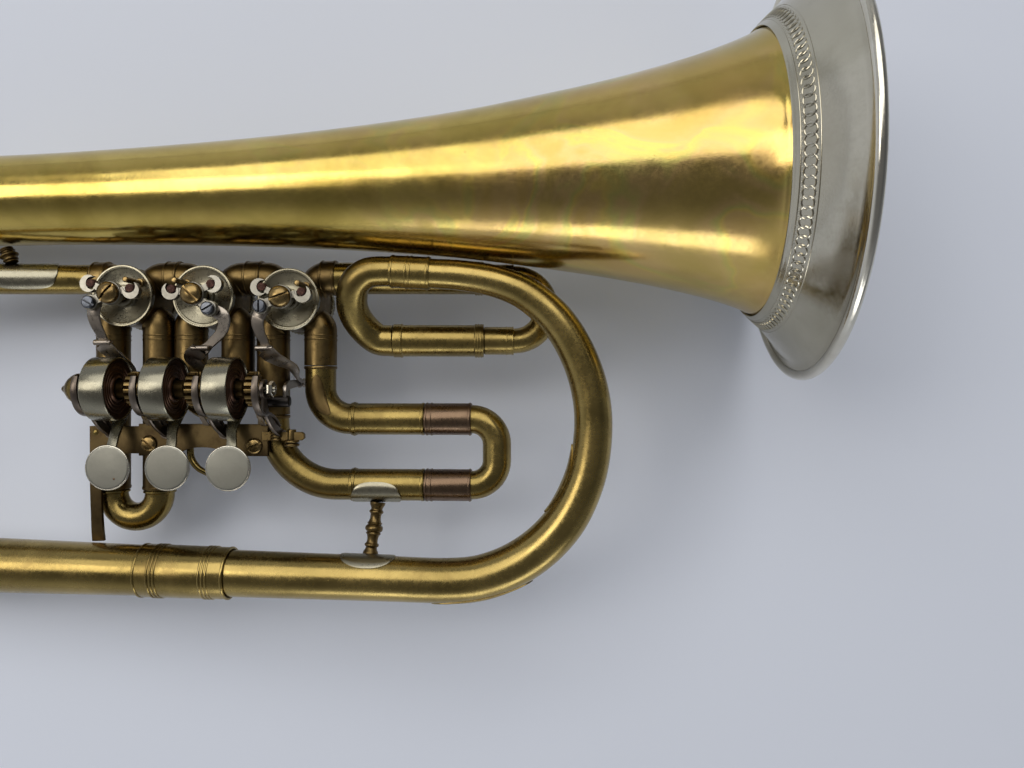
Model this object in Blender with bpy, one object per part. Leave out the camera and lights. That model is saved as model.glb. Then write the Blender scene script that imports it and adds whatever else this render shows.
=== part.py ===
"""A rotary-valve trumpet of the wide-bore, flugelhorn-like kind, as a bench assembly of separate pieces.

Lengths below are in millimetres, in the instrument's own axes: +X towards the bell, +Y from the lead pipe
to the bell, +Z away from the back of the valves, origin on the middle valve's axis at mid height. MM turns them
into metres. The instrument empty lays the whole thing in its rest pose on the ground, on the bell's rim and
the back bow, and the valve_row empty turns the valve group a little against the bell.
"""

from math import acos, asin, atan2, cos, pi, radians, sin, sqrt, tan

import bmesh
import bpy
from mathutils import Matrix, Vector

MM = 0.001
GAP = 0.3
SLIVER_VOLUME = 1e-12

# Rest pose of the instrument on the ground: it lies on the bell's rim and on the back bow.
REST_TILT = radians(8.5439)
REST_ROLL = radians(1.6625)
REST_PLACE = (14.302, 1.660, 30.483)
ROW_TURN = radians(-1.3)

# Bell, on an axis parallel to X.
BELL_Y = 37.8
BODY_Z = 9.0
BELL_STATIONS = (
    (-103.0, 16.3),
    (-40.0, 17.2),
    (29.7, 20.25),
    (88.7, 25.4),
    (130.0, 31.5),
    (158.0, 36.7),
    (181.0, 42.3),
    (197.6, 47.9),
    (202.6, 51.6),
    (207.6, 56.2),
    (212.4, 61.8),
    (216.2, 67.3),
)
RIM_X = 219.9
RIM_RADIUS = 73.7
RIM_WIRE = 1.9
SHEET = 0.6
GARLAND_FROM_X = 201.0
GARLAND_EDGE = (201.0, 50.6)
GARLAND_LIP = (217.2, 68.8)
BELL_SIDES = 24

# Bottom tube, front bow, loop bow and back bow, all conical.
BOTTOM_Y = -102.4
BOTTOM_SLOPE = -0.0458
SLEEVE_X = (-25.4, 7.8)
SLEEVE_RADIUS = 9.75
BACK_BOW_X = -103.0
LEADPIPE_CORNERS = ((-44.6, 8.9, 0.0), (-50.0, 8.9, 0.0), (-175.0, 7.8, 35.6))
TUBE_WALL = 0.6
TUBE_SIDES = 8
BOW_SIDES = 10
ROUND_SIDES = 16

# Valve group, in the valve row's axes (u along the row, v across, z up).
VALVES = ((-30.5, 0.4), (0.0, 0.0), (31.9, -1.2))
CASING_RADIUS = 11.2
CASING_BORE = 9.3
CASING_HALF = 8.0
PLATE_TOP = 10.8
PLATE_RADIUS = 11.45
REAR_CAP_BOTTOM = -12.0
ROTOR_RADIUS = 9.0
SPINDLE_RADIUS = 2.2
PORT_OFFSET = 9.1
MAIN_V = 7.8
PIPE_RADIUS = 6.1
LEG_RADIUS = 5.2
BOW_RADIUS = 5.35
TUNING_FROM_U = 45.0
TUNING_LOW_V = -15.9
TUNING_DIP = radians(2.9)
LOOP_LEG_V = (-72.6, -30.3, 0.0)
LOOP_BEND = 9.1

# Stop arms: angles of the two cork lobes and the link lobe, and of the stop pin, about each valve's axis.
STOP_ARM = {
    1: {"near": 10, "far": 154, "link": 205, "pin": 37},
    2: {"near": 170, "far": 26, "link": 318, "pin": 143},
    3: {"near": 10, "far": 154, "link": 205, "pin": 37},
}
ARM_REACH = 7.9
ARM_Z = (17.0, 20.0)
LOBE_RADIUS = 2.2
LINK_EYE_RADIUS = 2.7

# Levers, on one axle along u.
AXLE_V = -34.2
AXLE_Z = 19.0
AXLE_RADIUS = 1.4
DRUMS_U = ((-35.7, -26.7), (-14.5, -5.6), (7.6, 16.5))
DRUM_RADIUS = 11.5
DRUM_WALL = 0.8
RATCHETS_U = ((-22.3, -19.3), (-0.6, 2.4), (20.8, 23.8))
RATCHET_RADIUS = 6.3
RATCHET_TEETH = 12
POSTS_U = (-38.2, -17.3, 4.9, 25.9)
PADDLE_V = -62.6
PADDLE_Z = 19.8
PADDLE_RADIUS = 8.15
PADDLE_SHIFT = (0.0, 0.8, 0.9)  # how far each paddle sits to the right of its drum's middle
CRANK_U = (-31.4, -0.8, 30.6)
CRANK_REACH = 26.5
CRANK_ANGLE = radians(5.0)
KNUCKLES = ((-35.5, -17.2), (0.8, -19.3), (24.5, -19.4))
KNUCKLE_Z = 15.0
KNUCKLE_RADIUS = 1.2


def clear_scene():
    for obj in list(bpy.data.objects):
        bpy.data.objects.remove(obj, do_unlink=True)


def material(name, colour, roughness, metallic):
    made = bpy.data.materials.new(name)
    made.use_nodes = True
    shader = made.node_tree.nodes["Principled BSDF"]
    shader.inputs["Base Color"].default_value = (*colour, 1.0)
    shader.inputs["Roughness"].default_value = roughness
    shader.inputs["Metallic"].default_value = metallic
    made.diffuse_color = (*colour, 1.0)
    return made


def empty(name, place, turn, parent):
    made = bpy.data.objects.new(name, None)
    bpy.context.scene.collection.objects.link(made)
    made.location = Vector(place) * MM
    made.rotation_euler = turn
    made.parent = parent
    return made


def add_object(name, points, faces):
    """A mesh object from points in millimetres, with its faces turned outwards."""
    mesh = bpy.data.meshes.new(name)
    mesh.from_pydata([Vector(p) * MM for p in points], [], faces)
    shape = bmesh.new()
    shape.from_mesh(mesh)
    bmesh.ops.recalc_face_normals(shape, faces=shape.faces)
    if shape.calc_volume(signed=True) < 0:
        bmesh.ops.reverse_faces(shape, faces=shape.faces)
    shape.to_mesh(mesh)
    shape.free()
    made = bpy.data.objects.new(name, mesh)
    bpy.context.scene.collection.objects.link(made)
    return made


def tidy_mesh(mesh):
    """Drops the empty slivers that a Boolean can leave beside the real body."""
    shape = bmesh.new()
    shape.from_mesh(mesh)
    bmesh.ops.triangulate(shape, faces=shape.faces)
    waiting = set(shape.faces)
    slivers = []
    while waiting:
        island = [waiting.pop()]
        for face in island:
            beside = {f for corner in face.verts for f in corner.link_faces} & waiting
            waiting -= beside
            island += beside
        corners = [[corner.co for corner in face.verts] for face in island]
        volume = sum(a.dot(b.cross(c)) for a, b, c in corners) / 6
        if abs(volume) < SLIVER_VOLUME:
            slivers += island
    bmesh.ops.delete(shape, geom=slivers, context="FACES")
    shape.to_mesh(mesh)
    shape.free()


def combine(name, base, others, operation, solver="EXACT"):
    """One object from base and the others, which are used up, by Boolean union or difference."""
    for number, other in enumerate(others):
        step = base.modifiers.new(f"step_{number}", "BOOLEAN")
        step.operation = operation
        step.solver = solver
        step.object = other
    bpy.context.view_layer.update()
    graph = bpy.context.evaluated_depsgraph_get()
    mesh = bpy.data.meshes.new_from_object(base.evaluated_get(graph))
    mesh.materials.clear()
    tidy_mesh(mesh)
    for used in [base, *others]:
        bpy.data.objects.remove(used, do_unlink=True)
    made = bpy.data.objects.new(name, mesh)
    bpy.context.scene.collection.objects.link(made)
    return made


def union(name, base, *others):
    return combine(name, base, others, "UNION")


def cut(name, base, *others):
    return combine(name, base, others, "DIFFERENCE")


def finish(obj, name, metal, parent, pivot=(0, 0, 0)):
    """Names the object, gives it its material and parent, and puts its origin at the pivot."""
    obj.name = name
    obj.data.name = name
    obj.data.materials.append(metal)
    pivot = Vector(pivot) * MM
    obj.data.transform(Matrix.Translation(-pivot))
    obj.location = pivot
    obj.parent = parent
    obj.data.shade_smooth()
    obj.data.set_sharp_from_angle(angle=radians(35))
    return obj


def frame_of(axis):
    """Two unit vectors across the axis."""
    axis = Vector(axis).normalized()
    side = Vector((0, 0, 1)) if abs(axis.z) < 0.9 else Vector((1, 0, 0))
    first = axis.cross(side).normalized()
    return first, axis.cross(first)


def loft(rings, looped):
    """Points and faces that join the rings, each a list of points, and close the ends or the whole loop."""
    count = len(rings[0])
    points = [p for ring in rings for p in ring]
    faces = []
    for i in range(len(rings) if looped else len(rings) - 1):
        j = (i + 1) % len(rings)
        for k in range(count):
            after = (k + 1) % count
            faces.append((i * count + k, i * count + after, j * count + after, j * count + k))
    if not looped:
        faces.append(tuple(reversed(range(count))))
        faces.append(tuple((len(rings) - 1) * count + k for k in range(count)))
    return points, faces


def circle(centre, first, second, radius, sides):
    angles = [2 * pi * k / sides for k in range(sides)]
    return [Vector(centre) + first * (radius * cos(a)) + second * (radius * sin(a)) for a in angles]


def turned(name, start, axis, profile, sides, hollow):
    """A turned piece: (distance along the axis, radius) points. A solid one is closed at both ends by a disc."""
    first, second = frame_of(axis)
    axis = Vector(axis).normalized()
    rings = [circle(Vector(start) + axis * along, first, second, radius, sides) for along, radius in profile]
    return add_object(name, *loft(rings, hollow))


def rod(name, start, end, radius, sides=10):
    length = (Vector(end) - Vector(start)).length
    return turned(name, start, Vector(end) - Vector(start), ((0, radius), (length, radius)), sides, False)


def sleeve(name, start, end, outer, inner, sides=TUBE_SIDES):
    """A plain ring or tube with a bore right through."""
    length = (Vector(end) - Vector(start)).length
    profile = ((0, outer), (length, outer), (length, inner), (0, inner))
    return turned(name, start, Vector(end) - Vector(start), profile, sides, True)


def fillet(corners, bends, steps):
    """A path through the corners with a round bend of the given radius at each inner corner."""
    corners = [Vector(c) for c in corners]
    path = [corners[0]]
    for before, corner, after, bend in zip(corners, corners[1:], corners[2:], bends):
        into = (corner - before).normalized()
        out = (after - corner).normalized()
        turn = acos(max(-1.0, min(1.0, into.dot(out))))
        reach = bend * tan(turn / 2)
        centre = corner + (out - into).normalized() * (bend / cos(turn / 2))
        start = corner - into * reach - centre
        side = into
        for step in range(steps + 1):
            angle = turn * step / steps
            path.append(centre + start * cos(angle) + side * (bend * sin(angle)))
    path.append(corners[-1])
    return [p for p, q in zip(path, path[1:]) if (p - q).length > 0.01] + [path[-1]]


def spline(knots, steps):
    """A smooth path through the knots, as a Catmull-Rom curve."""
    knots = [Vector(k) for k in knots]
    ends = [2 * knots[0] - knots[1], *knots, 2 * knots[-1] - knots[-2]]
    path = []
    for a, b, c, d in zip(ends, ends[1:], ends[2:], ends[3:]):
        for step in range(steps):
            t = step / steps
            path.append(0.5 * (2 * b + (c - a) * t + (2 * a - 5 * b + 4 * c - d) * t**2 + (3 * b - a - 3 * c + d) * t**3))
    return [*path, knots[-1]]


def tangents(path):
    found = [(path[1] - path[0]).normalized()]
    for before, after in zip(path, path[2:]):
        found.append((after - before).normalized())
    return [*found, (path[-1] - path[-2]).normalized()]


def half_turn(middle, reach, across, steps):
    """Points of a half circle from middle - across to middle + across, bulging along the reach vector."""
    angles = [-pi / 2 + pi * step / steps for step in range(1, steps)]
    return [Vector(middle) + Vector(reach) * cos(a) + Vector(across) * sin(a) for a in angles]


def even_radii(path, radii):
    """A radius for each point: the given ones, or where they are fewer, spread evenly by length through them."""
    if len(radii) == len(path):
        return radii
    lengths = [0.0]
    for before, after in zip(path, path[1:]):
        lengths.append(lengths[-1] + (after - before).length)
    found = []
    for length in lengths:
        place = length / lengths[-1] * (len(radii) - 1)
        low = min(int(place), len(radii) - 2)
        found.append(radii[low] + (radii[low + 1] - radii[low]) * (place - low))
    return found


def bent_tube(name, path, radii, wall=TUBE_WALL, sides=TUBE_SIDES):
    """A tube along the path, hollow with open ends, or solid where wall is None."""
    path = [Vector(p) for p in path]
    along = tangents(path)
    first, _ = frame_of(along[0])
    outer, inner = [], []
    for point, axis, radius in zip(path, along, even_radii(path, radii)):
        first = (first - axis * first.dot(axis)).normalized()
        second = axis.cross(first)
        outer.append(circle(point, first, second, radius, sides))
        if wall:
            inner.append(circle(point, first, second, radius - wall, sides))
    if wall:
        return add_object(name, *loft(outer + inner[::-1], True))
    return add_object(name, *loft(outer, False))


def ribbon(name, path, across, width, thickness):
    """A flat strip along the path. across gives the direction of its width, width one number or one a point."""
    path = [Vector(p) for p in path]
    widths = width if isinstance(width, (list, tuple)) else [width] * len(path)
    rings = []
    for point, axis, wide in zip(path, tangents(path), widths):
        side = Vector(across) - axis * Vector(across).dot(axis)
        side = side.normalized() * (wide / 2)
        up = axis.cross(side).normalized() * (thickness / 2)
        rings.append([point + side + up, point - side + up, point - side - up, point + side - up])
    return add_object(name, *loft(rings, False))


def plate(name, outline, low, high):
    """A flat plate between two heights from its outline in X and Y."""
    rings = [[(x, y, z) for x, y in outline] for z in (low, high)]
    return add_object(name, *loft(rings, False))


def offset(profile, distance):
    """The (along, radius) profile moved inwards across itself by the distance."""
    moved = []
    for i, (along, radius) in enumerate(profile):
        before = profile[max(i - 1, 0)]
        after = profile[min(i + 1, len(profile) - 1)]
        slope = atan2(after[1] - before[1], after[0] - before[0])
        moved.append((along + distance * sin(slope), radius - distance * cos(slope)))
    return moved


def bottom_point(x):
    return Vector((x, BOTTOM_Y + BOTTOM_SLOPE * x, BODY_Z))


# ---------------------------------------------------------------- body of tube


def make_bell(metals, instrument):
    start = (0, BELL_Y, BODY_Z)
    axis = (1, 0, 0)
    under = [p for p in BELL_STATIONS if p[0] <= GARLAND_FROM_X - 2]
    flare = [p for p in BELL_STATIONS if p[0] > GARLAND_FROM_X - 2]
    outside = under + offset(flare, SHEET + GAP)
    inside = offset(under + flare, SHEET) [: len(under)] + offset(flare, 2 * SHEET + GAP)
    bell = turned("bell", start, axis, outside + inside[::-1], BELL_SIDES, True)
    finish(bell, "bell", metals["bell_brass"], instrument)
    sheet = [GARLAND_EDGE, *[p for p in flare if p[0] > GARLAND_FROM_X + 1], GARLAND_LIP]
    garland = turned("garland", start, axis, sheet + offset(sheet, SHEET)[::-1], BELL_SIDES, True)
    finish(garland, "bell_garland", metals["nickel_silver"], instrument)
    centre = (RIM_X - RIM_WIRE, RIM_RADIUS - RIM_WIRE)
    angles = [radians(a) for a in (45, 90, 135, 180, 225, 270, 315)]
    wire = [(centre[0] + RIM_WIRE * cos(a), centre[1] + RIM_WIRE * sin(a)) for a in angles]
    wire = [(RIM_X, centre[1] - 0.9), (RIM_X, centre[1] + 0.9), *wire]
    rim = turned("rim", start, axis, wire, BELL_SIDES, True)
    finish(rim, "rim_wire", metals["nickel_silver"], instrument)


def make_back_bow(metals, instrument):
    bell_end = Vector((BACK_BOW_X - GAP, BELL_Y, BODY_Z))
    low_end = bottom_point(BACK_BOW_X - GAP)
    reach = Vector((-1, 0, 0)) * ((bell_end.y - low_end.y) / 2)
    low_side = bottom_point(BACK_BOW_X - GAP - 1)
    bell_side = bell_end - Vector((1, 0, 0))
    across = (low_side - bell_side) / 2
    path = [bell_end, bell_side, *half_turn((low_side + bell_side) / 2, reach, across, 9), low_side, low_end]
    bow = bent_tube("back_bow", path, (16.2, 15.0, 13.3, 11.7, 10.4), sides=BOW_SIDES)
    finish(bow, "back_bow", metals["tube_brass"], instrument)
    ring = sleeve("ring", (BACK_BOW_X - 3, BELL_Y, BODY_Z), (BACK_BOW_X + 6, BELL_Y, BODY_Z), 17.6, 16.95, BELL_SIDES)
    finish(ring, "bell_ferrule", metals["nickel_silver"], instrument)


def make_bottom(metals, instrument):
    long_end = bottom_point(BACK_BOW_X)
    seam = bottom_point((SLEEVE_X[0] + SLEEVE_X[1]) / 2)
    wall = TUBE_WALL
    bottom = bent_tube("bottom", [long_end, seam], (10.3, 9.05), wall, BOW_SIDES)
    finish(bottom, "bottom_tube", metals["tube_brass"], instrument)
    low, high = bottom_point(SLEEVE_X[0]), bottom_point(SLEEVE_X[1])
    length = (high - low).length
    bead = 0.35
    outside = [(0, SLEEVE_RADIUS)]
    for along in (5.5, length - 8.0):
        outside += [(along, SLEEVE_RADIUS), (along + 0.7, SLEEVE_RADIUS + bead), (along + 1.8, SLEEVE_RADIUS + bead)]
        outside.append((along + 2.5, SLEEVE_RADIUS))
    outside.append((length, SLEEVE_RADIUS - 0.3))
    inside = [(length, 9.15), (length / 2, 9.3), (0, 9.55)]
    ferrule = turned("sleeve", low, high - low, outside + inside, BOW_SIDES, True)
    finish(ferrule, "bow_sleeve", metals["tube_brass"], instrument)


FRONT_BOW_KNOTS = (
    (84.8, 5.8, 12.5),
    (97.0, 4.6, 12.6),
    (110.0, 1.8, 12.6),
    (121.0, -3.6, 12.5),
    (131.3, -13.6, 12.2),
    (138.7, -27.6, 11.5),
    (142.3, -42.4, 10.8),
    (142.1, -57.1, 10.2),
    (138.8, -71.3, 9.7),
    (131.4, -85.4, 9.3),
    (120.1, -96.5, 9.0),
    (106.3, -103.6, 9.0),
    (90.6, -106.3, 9.0),
)
FRONT_BOW_RADII = (5.3, 5.5, 5.8, 6.1, 6.4, 6.6, 6.8, 7.0, 7.3, 7.7, 7.9, 8.0, 8.05)


def make_front_bow(metals, instrument):
    seam = bottom_point((SLEEVE_X[0] + SLEEVE_X[1]) / 2 + GAP)
    path = [Vector(knot) for knot in FRONT_BOW_KNOTS] + [bottom_point(60), seam]
    bow = bent_tube("front_bow", path, [*FRONT_BOW_RADII, 8.2, 8.65], sides=BOW_SIDES)
    finish(bow, "front_bow", metals["tube_brass"], instrument)
    guard_path = []
    for index in (7, 8, 9):
        axis = (path[index + 1] - path[index - 1]).normalized()
        inwards = axis.cross(Vector((0, 0, 1)))
        guard_path.append(path[index] + inwards * (FRONT_BOW_RADII[index] + 0.75))
    guard = ribbon("guard", guard_path, (0, 0, 1), [3.0, 5.0, 3.0], 0.7)
    finish(guard, "bow_guard", metals["tube_brass"], instrument)


def make_loop(metals, instrument, row):
    """The small bow that brings the tube forward over the rear tube, and the ring that joins it to the front bow."""
    turn = Matrix.Rotation(ROW_TURN, 4, "Z")
    path = [
        turn @ tuning_point(68.6, TUNING_LOW_V),
        turn @ tuning_point(67.4, TUNING_LOW_V),
        turn @ Vector((62.6, -15.3, -0.6)),
        Vector((58.0, -12.9, 1.6)),
        Vector((55.4, -8.2, 5.0)),
        Vector((54.9, -3.0, 8.4)),
        Vector((57.0, 3.0, 11.8)),
        Vector((61.8, 6.5, 12.6)),
        Vector((68.5, 7.0, 12.6)),
        Vector((77.0, 6.4, 12.5)),
    ]
    bow = bent_tube("loop", path, (5.9, 5.9, 5.7, 5.5, 5.3))
    finish(bow, "loop_bow", metals["tube_brass"], instrument)
    start, end = Vector((77.3, 6.4, 12.5)), Vector((84.5, 5.8, 12.5))
    ring = sleeve("ring", start, end, 5.75, 4.7)
    finish(ring, "loop_ferrule", metals["tube_brass"], instrument)


def slide_bow(name, low, high, out, lengths, radii, steps=7):
    """A U-shaped slide: two legs from the mouths low and high, with a collar on each, and a round bow.

    lengths are the leg inside, the collar and the step down to the bow, radii those of leg, collar and bow."""
    low, high, out = Vector(low), Vector(high), Vector(out)
    inside, collar, plain = lengths
    leg, ring, bow = radii
    stations = [(-inside, leg), (-0.02, leg), (0.02, ring), (collar, ring), (collar + plain, bow)]
    across = (high - low) / 2
    middle = (low + high) / 2 + out * (collar + plain)
    path = [low + out * along for along, _ in stations]
    path += half_turn(middle, out * across.length, across, steps)
    path += [high + out * along for along, _ in reversed(stations)]
    sizes = [radius for _, radius in stations]
    return bent_tube(name, path, [*sizes, *[bow] * (steps - 1), *reversed(sizes)], 0.5)


def tuning_point(u, v):
    """A point on the tuning slide's sloping plane, which leads it clear of the bell."""
    return Vector((u, v, -(u - TUNING_FROM_U) * tan(TUNING_DIP)))


def make_tuning_slide(metals, row):
    """The main tuning slide, and the two outer legs that it moves in."""
    end_u, collar = 102.9, (3.5, 6.3)
    out = Vector((cos(TUNING_DIP), 0, -sin(TUNING_DIP)))
    for name, v, start_u, rings in (("lower", TUNING_LOW_V, 68.9, 3.4), ("upper", MAIN_V, TUNING_FROM_U, 0.4)):
        start = tuning_point(start_u, v)
        length = (tuning_point(end_u, v) - start).length
        profile = [(0, 6.35), (rings, 6.35), (rings + 0.1, 6.0), (length - collar[0], 6.0)]
        profile += [(length - collar[0] + 0.1, collar[1]), (length, collar[1])]
        profile += [(length, LEG_RADIUS + GAP), (0, LEG_RADIUS + GAP)]
        leg = turned("leg", start, out, profile, TUBE_SIDES, True)
        finish(leg, f"tuning_leg_{name}", metals["tube_brass"], row)
    low, high = tuning_point(end_u + GAP, TUNING_LOW_V), tuning_point(end_u + GAP, MAIN_V)
    slide = slide_bow("slide", low, high, out, (30.0, 11.0, 0.6), (LEG_RADIUS, 5.45, 5.2))
    finish(slide, "tuning_slide", metals["tube_brass"], row)


def make_lead_pipe(metals, instrument, row):
    path = fillet(LEADPIPE_CORNERS, (30.0,), 3)
    pipe = bent_tube("pipe", path, (5.7, 5.5, 5.2, 4.9), sides=BOW_SIDES)
    finish(pipe, "leadpipe", metals["tube_brass"], instrument)
    axis = (path[-1] - path[-2]).normalized()
    mouth = path[-1] - axis * 8
    outside = [(0, 6.2), (2, 6.2), (3, 5.9), (24, 5.9), (25, 7.0), (28, 7.0), (29, 6.4)]
    inside = [(29, 4.6), (9, 4.3), (8.8, 5.0 + GAP), (0, 5.05 + GAP)]
    receiver = turned("receiver", mouth, axis, outside + inside, 12, True)
    finish(receiver, "receiver", metals["nickel_silver"], instrument)
    shank = path[-1] + axis * 2.0
    outer = [(0, 3.9), (19, 4.2), (27, 4.3), (38, 5.0), (46, 6.2), (54, 9.6), (60, 12.9), (66, 13.3), (73, 13.3), (74, 12.6)]
    bore = [(74, 9.6), (72, 8.4), (66, 7.6), (60, 5.0), (56, 2.0), (40, 2.6), (0, 3.1)]
    mouthpiece = turned("mouthpiece", shank, axis, outer + bore, ROUND_SIDES, True)
    finish(mouthpiece, "mouthpiece", metals["silver_plate"], instrument, shank)


def baluster(name, start, end, foot):
    """A turned brace: flared feet, waists and a fat ring in the middle."""
    length = (Vector(end) - Vector(start)).length
    shape = ((0, foot), (0.05, foot), (0.13, 1.8), (0.3, 1.5), (0.42, 2.1), (0.46, 2.6), (0.54, 2.6))
    shape += ((0.58, 2.1), (0.7, 1.5), (0.87, 1.8), (0.95, foot), (1.0, foot))
    return turned(name, start, Vector(end) - Vector(start), [(s * length, r) for s, r in shape], 8, False)


def make_braces(metals, instrument):
    long_brace = baluster("brace", (61.4, -78.4, 1.2), (58.6, -97.7, 3.4), 2.9)
    finish(long_brace, "bow_brace", metals["tube_brass"], instrument)
    short_brace = baluster("brace", (-73.0, 14.7, 9.6), (-75.2, 19.9, 9.3), 2.2)
    finish(short_brace, "leadpipe_brace", metals["tube_brass"], instrument)


# ---------------------------------------------------------------- valves


def make_casing(number, metals, row):
    """The casing with its four short pipes. The first two valves' lower pipes are also the slides' outer legs."""
    u, v = VALVES[number - 1]
    leg_end = LOOP_LEG_V[number - 1]
    body = rod("body", (u, v, -CASING_HALF), (u, v, CASING_HALF), CASING_RADIUS, ROUND_SIDES)
    pieces, bores = [], []
    for side in (-1, 1):
        corner = (u + side * PORT_OFFSET, v - 9.5, 0)
        stop = leg_end if number < 3 else (-25.3, -43.9)[side < 0]
        path = fillet(((u + side * 2, v - 2.4, 0), corner, (corner[0], stop, 0)), (6.0,), 2)
        pieces.append(bent_tube("pipe", path, (PIPE_RADIUS, PIPE_RADIUS), None, TUBE_SIDES))
        bore = [path[0] + (path[0] - path[1]).normalized(), *path[1:-1], path[-1] + Vector((0, -1, 0))]
        bores.append(bent_tube("bore", bore, (LEG_RADIUS + GAP, LEG_RADIUS + GAP), None, TUBE_SIDES))
        reach = {(-1, 1): -44.3, (1, 3): 44.7}.get((side, number))
        if reach is None:
            reach = u + side * 14.2
        top = ((u + side * 3, v + 3.4, 0), (u + side * 9, MAIN_V, 0), (reach, MAIN_V, 0))
        path = fillet(top, (5.0,), 2)
        pieces.append(bent_tube("pipe", path, (PIPE_RADIUS, PIPE_RADIUS), None, TUBE_SIDES))
        bore = [*path[:-1], path[-1] + Vector((side, 0, 0))]
        bores.append(bent_tube("bore", bore, (LEG_RADIUS + GAP, LEG_RADIUS + GAP), None, TUBE_SIDES))
    casing = combine("casing", body, pieces, "UNION", "MANIFOLD")
    hole = rod("hole", (u, v, -CASING_HALF - 1), (u, v, CASING_HALF + 1), CASING_BORE, ROUND_SIDES)
    casing = combine("casing", casing, [hole, *bores], "DIFFERENCE", "MANIFOLD")
    finish(casing, f"valve_casing_{number}", metals["tube_brass"], row)


def make_plate(number, metals, row):
    """The dished front bearing plate with its stop pin."""
    u, v = VALVES[number - 1]
    low = CASING_HALF + GAP
    outside = [(low, PLATE_RADIUS), (PLATE_TOP, PLATE_RADIUS), (PLATE_TOP, PLATE_RADIUS - 0.9)]
    inside = [(low + 1.2, PLATE_RADIUS - 2.6), (low + 1.4, 4.2), (low + 2.6, 3.6)]
    inside += [(low + 2.6, SPINDLE_RADIUS + GAP), (low, SPINDLE_RADIUS + GAP)]
    disc = turned("plate", (u, v, 0), (0, 0, 1), outside + inside, ROUND_SIDES, True)
    angle = radians(STOP_ARM[number]["pin"])
    foot = Vector((u + ARM_REACH * cos(angle), v + ARM_REACH * sin(angle), low + 0.5))
    pin = rod("pin", foot, foot + Vector((0, 0, ARM_Z[1] + 0.6 - foot.z)), 1.05, 8)
    finish(union("plate", disc, pin), f"front_plate_{number}", metals["nickel_silver"], row)


def make_rear_cap(number, metals, row):
    u, v = VALVES[number - 1]
    top = -CASING_HALF - GAP
    profile = [(top, PLATE_RADIUS), (top - 0.6, PLATE_RADIUS + 0.35), (top - 2.2, PLATE_RADIUS + 0.35)]
    profile += [(REAR_CAP_BOTTOM + 0.5, PLATE_RADIUS - 0.6), (REAR_CAP_BOTTOM, PLATE_RADIUS - 2.6)]
    profile += [(REAR_CAP_BOTTOM, 0.6), (top - 2.3, 0.6), (top - 2.3, SPINDLE_RADIUS + GAP)]
    profile += [(top, SPINDLE_RADIUS + GAP)]
    cap = turned("cap", (u, v, 0), (0, 0, 1), profile, ROUND_SIDES, True)
    finish(cap, f"rear_cap_{number}", metals["nickel_silver"], row)


def make_rotor(number, metals, row):
    """The plug with its two passages, and the spindle that carries the stop arm."""
    u, v = VALVES[number - 1]
    half = CASING_HALF - 0.8
    profile = [(-CASING_HALF - 2.2, SPINDLE_RADIUS), (-half, SPINDLE_RADIUS), (-half, ROTOR_RADIUS)]
    profile += [(half, ROTOR_RADIUS), (half, SPINDLE_RADIUS), (ARM_Z[0] - GAP, SPINDLE_RADIUS)]
    plug = turned("plug", (u, v, 0), (0, 0, 1), profile, ROUND_SIDES, False)
    passages = []
    for side in (-1, 1):
        ends = ((u + side * 12, v + 10, 0), (u + side * 7.2, v, 0), (u + side * 12, v - 10, 0))
        passages.append(bent_tube("passage", fillet(ends, (9.0,), 4), (4.9, 4.9), None, 10))
    rotor = cut("rotor", plug, *passages)
    finish(rotor, f"rotor_{number}", metals["rotor_brass"], row, (u, v, 0))


def arm_outline(number):
    """The stop arm's outline, as seen along the valve's axis: a hub, two cork lobes and the eye of the link."""
    u, v = VALVES[number - 1]
    angles = STOP_ARM[number]
    lobes = ((angles["near"], LOBE_RADIUS), (angles["far"], LOBE_RADIUS), (angles["link"], LINK_EYE_RADIUS))
    outline = []
    for degree in range(0, 360, 9):
        reach = 3.6
        for middle, radius in lobes:
            away = radians((degree - middle + 180) % 360 - 180)
            if abs(away) < pi / 2 and abs(ARM_REACH * sin(away)) < radius:
                edge = ARM_REACH * cos(away) + sqrt(radius**2 - (ARM_REACH * sin(away)) ** 2)
                reach = max(reach, edge)
        angle = radians(degree)
        outline.append((u + reach * cos(angle), v + reach * sin(angle)))
    return outline


def make_stop_arm(number, metals, row):
    u, v = VALVES[number - 1]
    arm = plate("arm", arm_outline(number), *ARM_Z)
    dome = [(ARM_Z[1] - 0.6, 3.9), (ARM_Z[1] + 1.2, 3.9), (ARM_Z[1] + 2.5, 2.8), (ARM_Z[1] + 3.1, 1.0)]
    screw = turned("screw", (u, v, 0), (0, 0, 1), dome, 10, False)
    angle = radians(STOP_ARM[number]["link"])
    eye = Vector((u + ARM_REACH * cos(angle), v + ARM_REACH * sin(angle), ARM_Z[1] - 0.5))
    head = rod("head", eye, eye + Vector((0, 0, 2.2)), 2.4, 8)
    joined = union("stop_arm", arm, screw, head)
    finish(joined, f"stop_arm_{number}", metals["nickel_silver"], row, (u, v, 0))


def make_connectors(metals, row):
    for first, second, name in ((0, 1, "connector_12"), (1, 2, "connector_23")):
        start = VALVES[first][0] + 14.2 + GAP
        end = VALVES[second][0] - 14.2 - GAP
        tube = sleeve("tube", (start, MAIN_V, 0), (end, MAIN_V, 0), PIPE_RADIUS + 0.4, LEG_RADIUS)
        finish(tube, name, metals["tube_brass"], row)


# ---------------------------------------------------------------- valve slides


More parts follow.
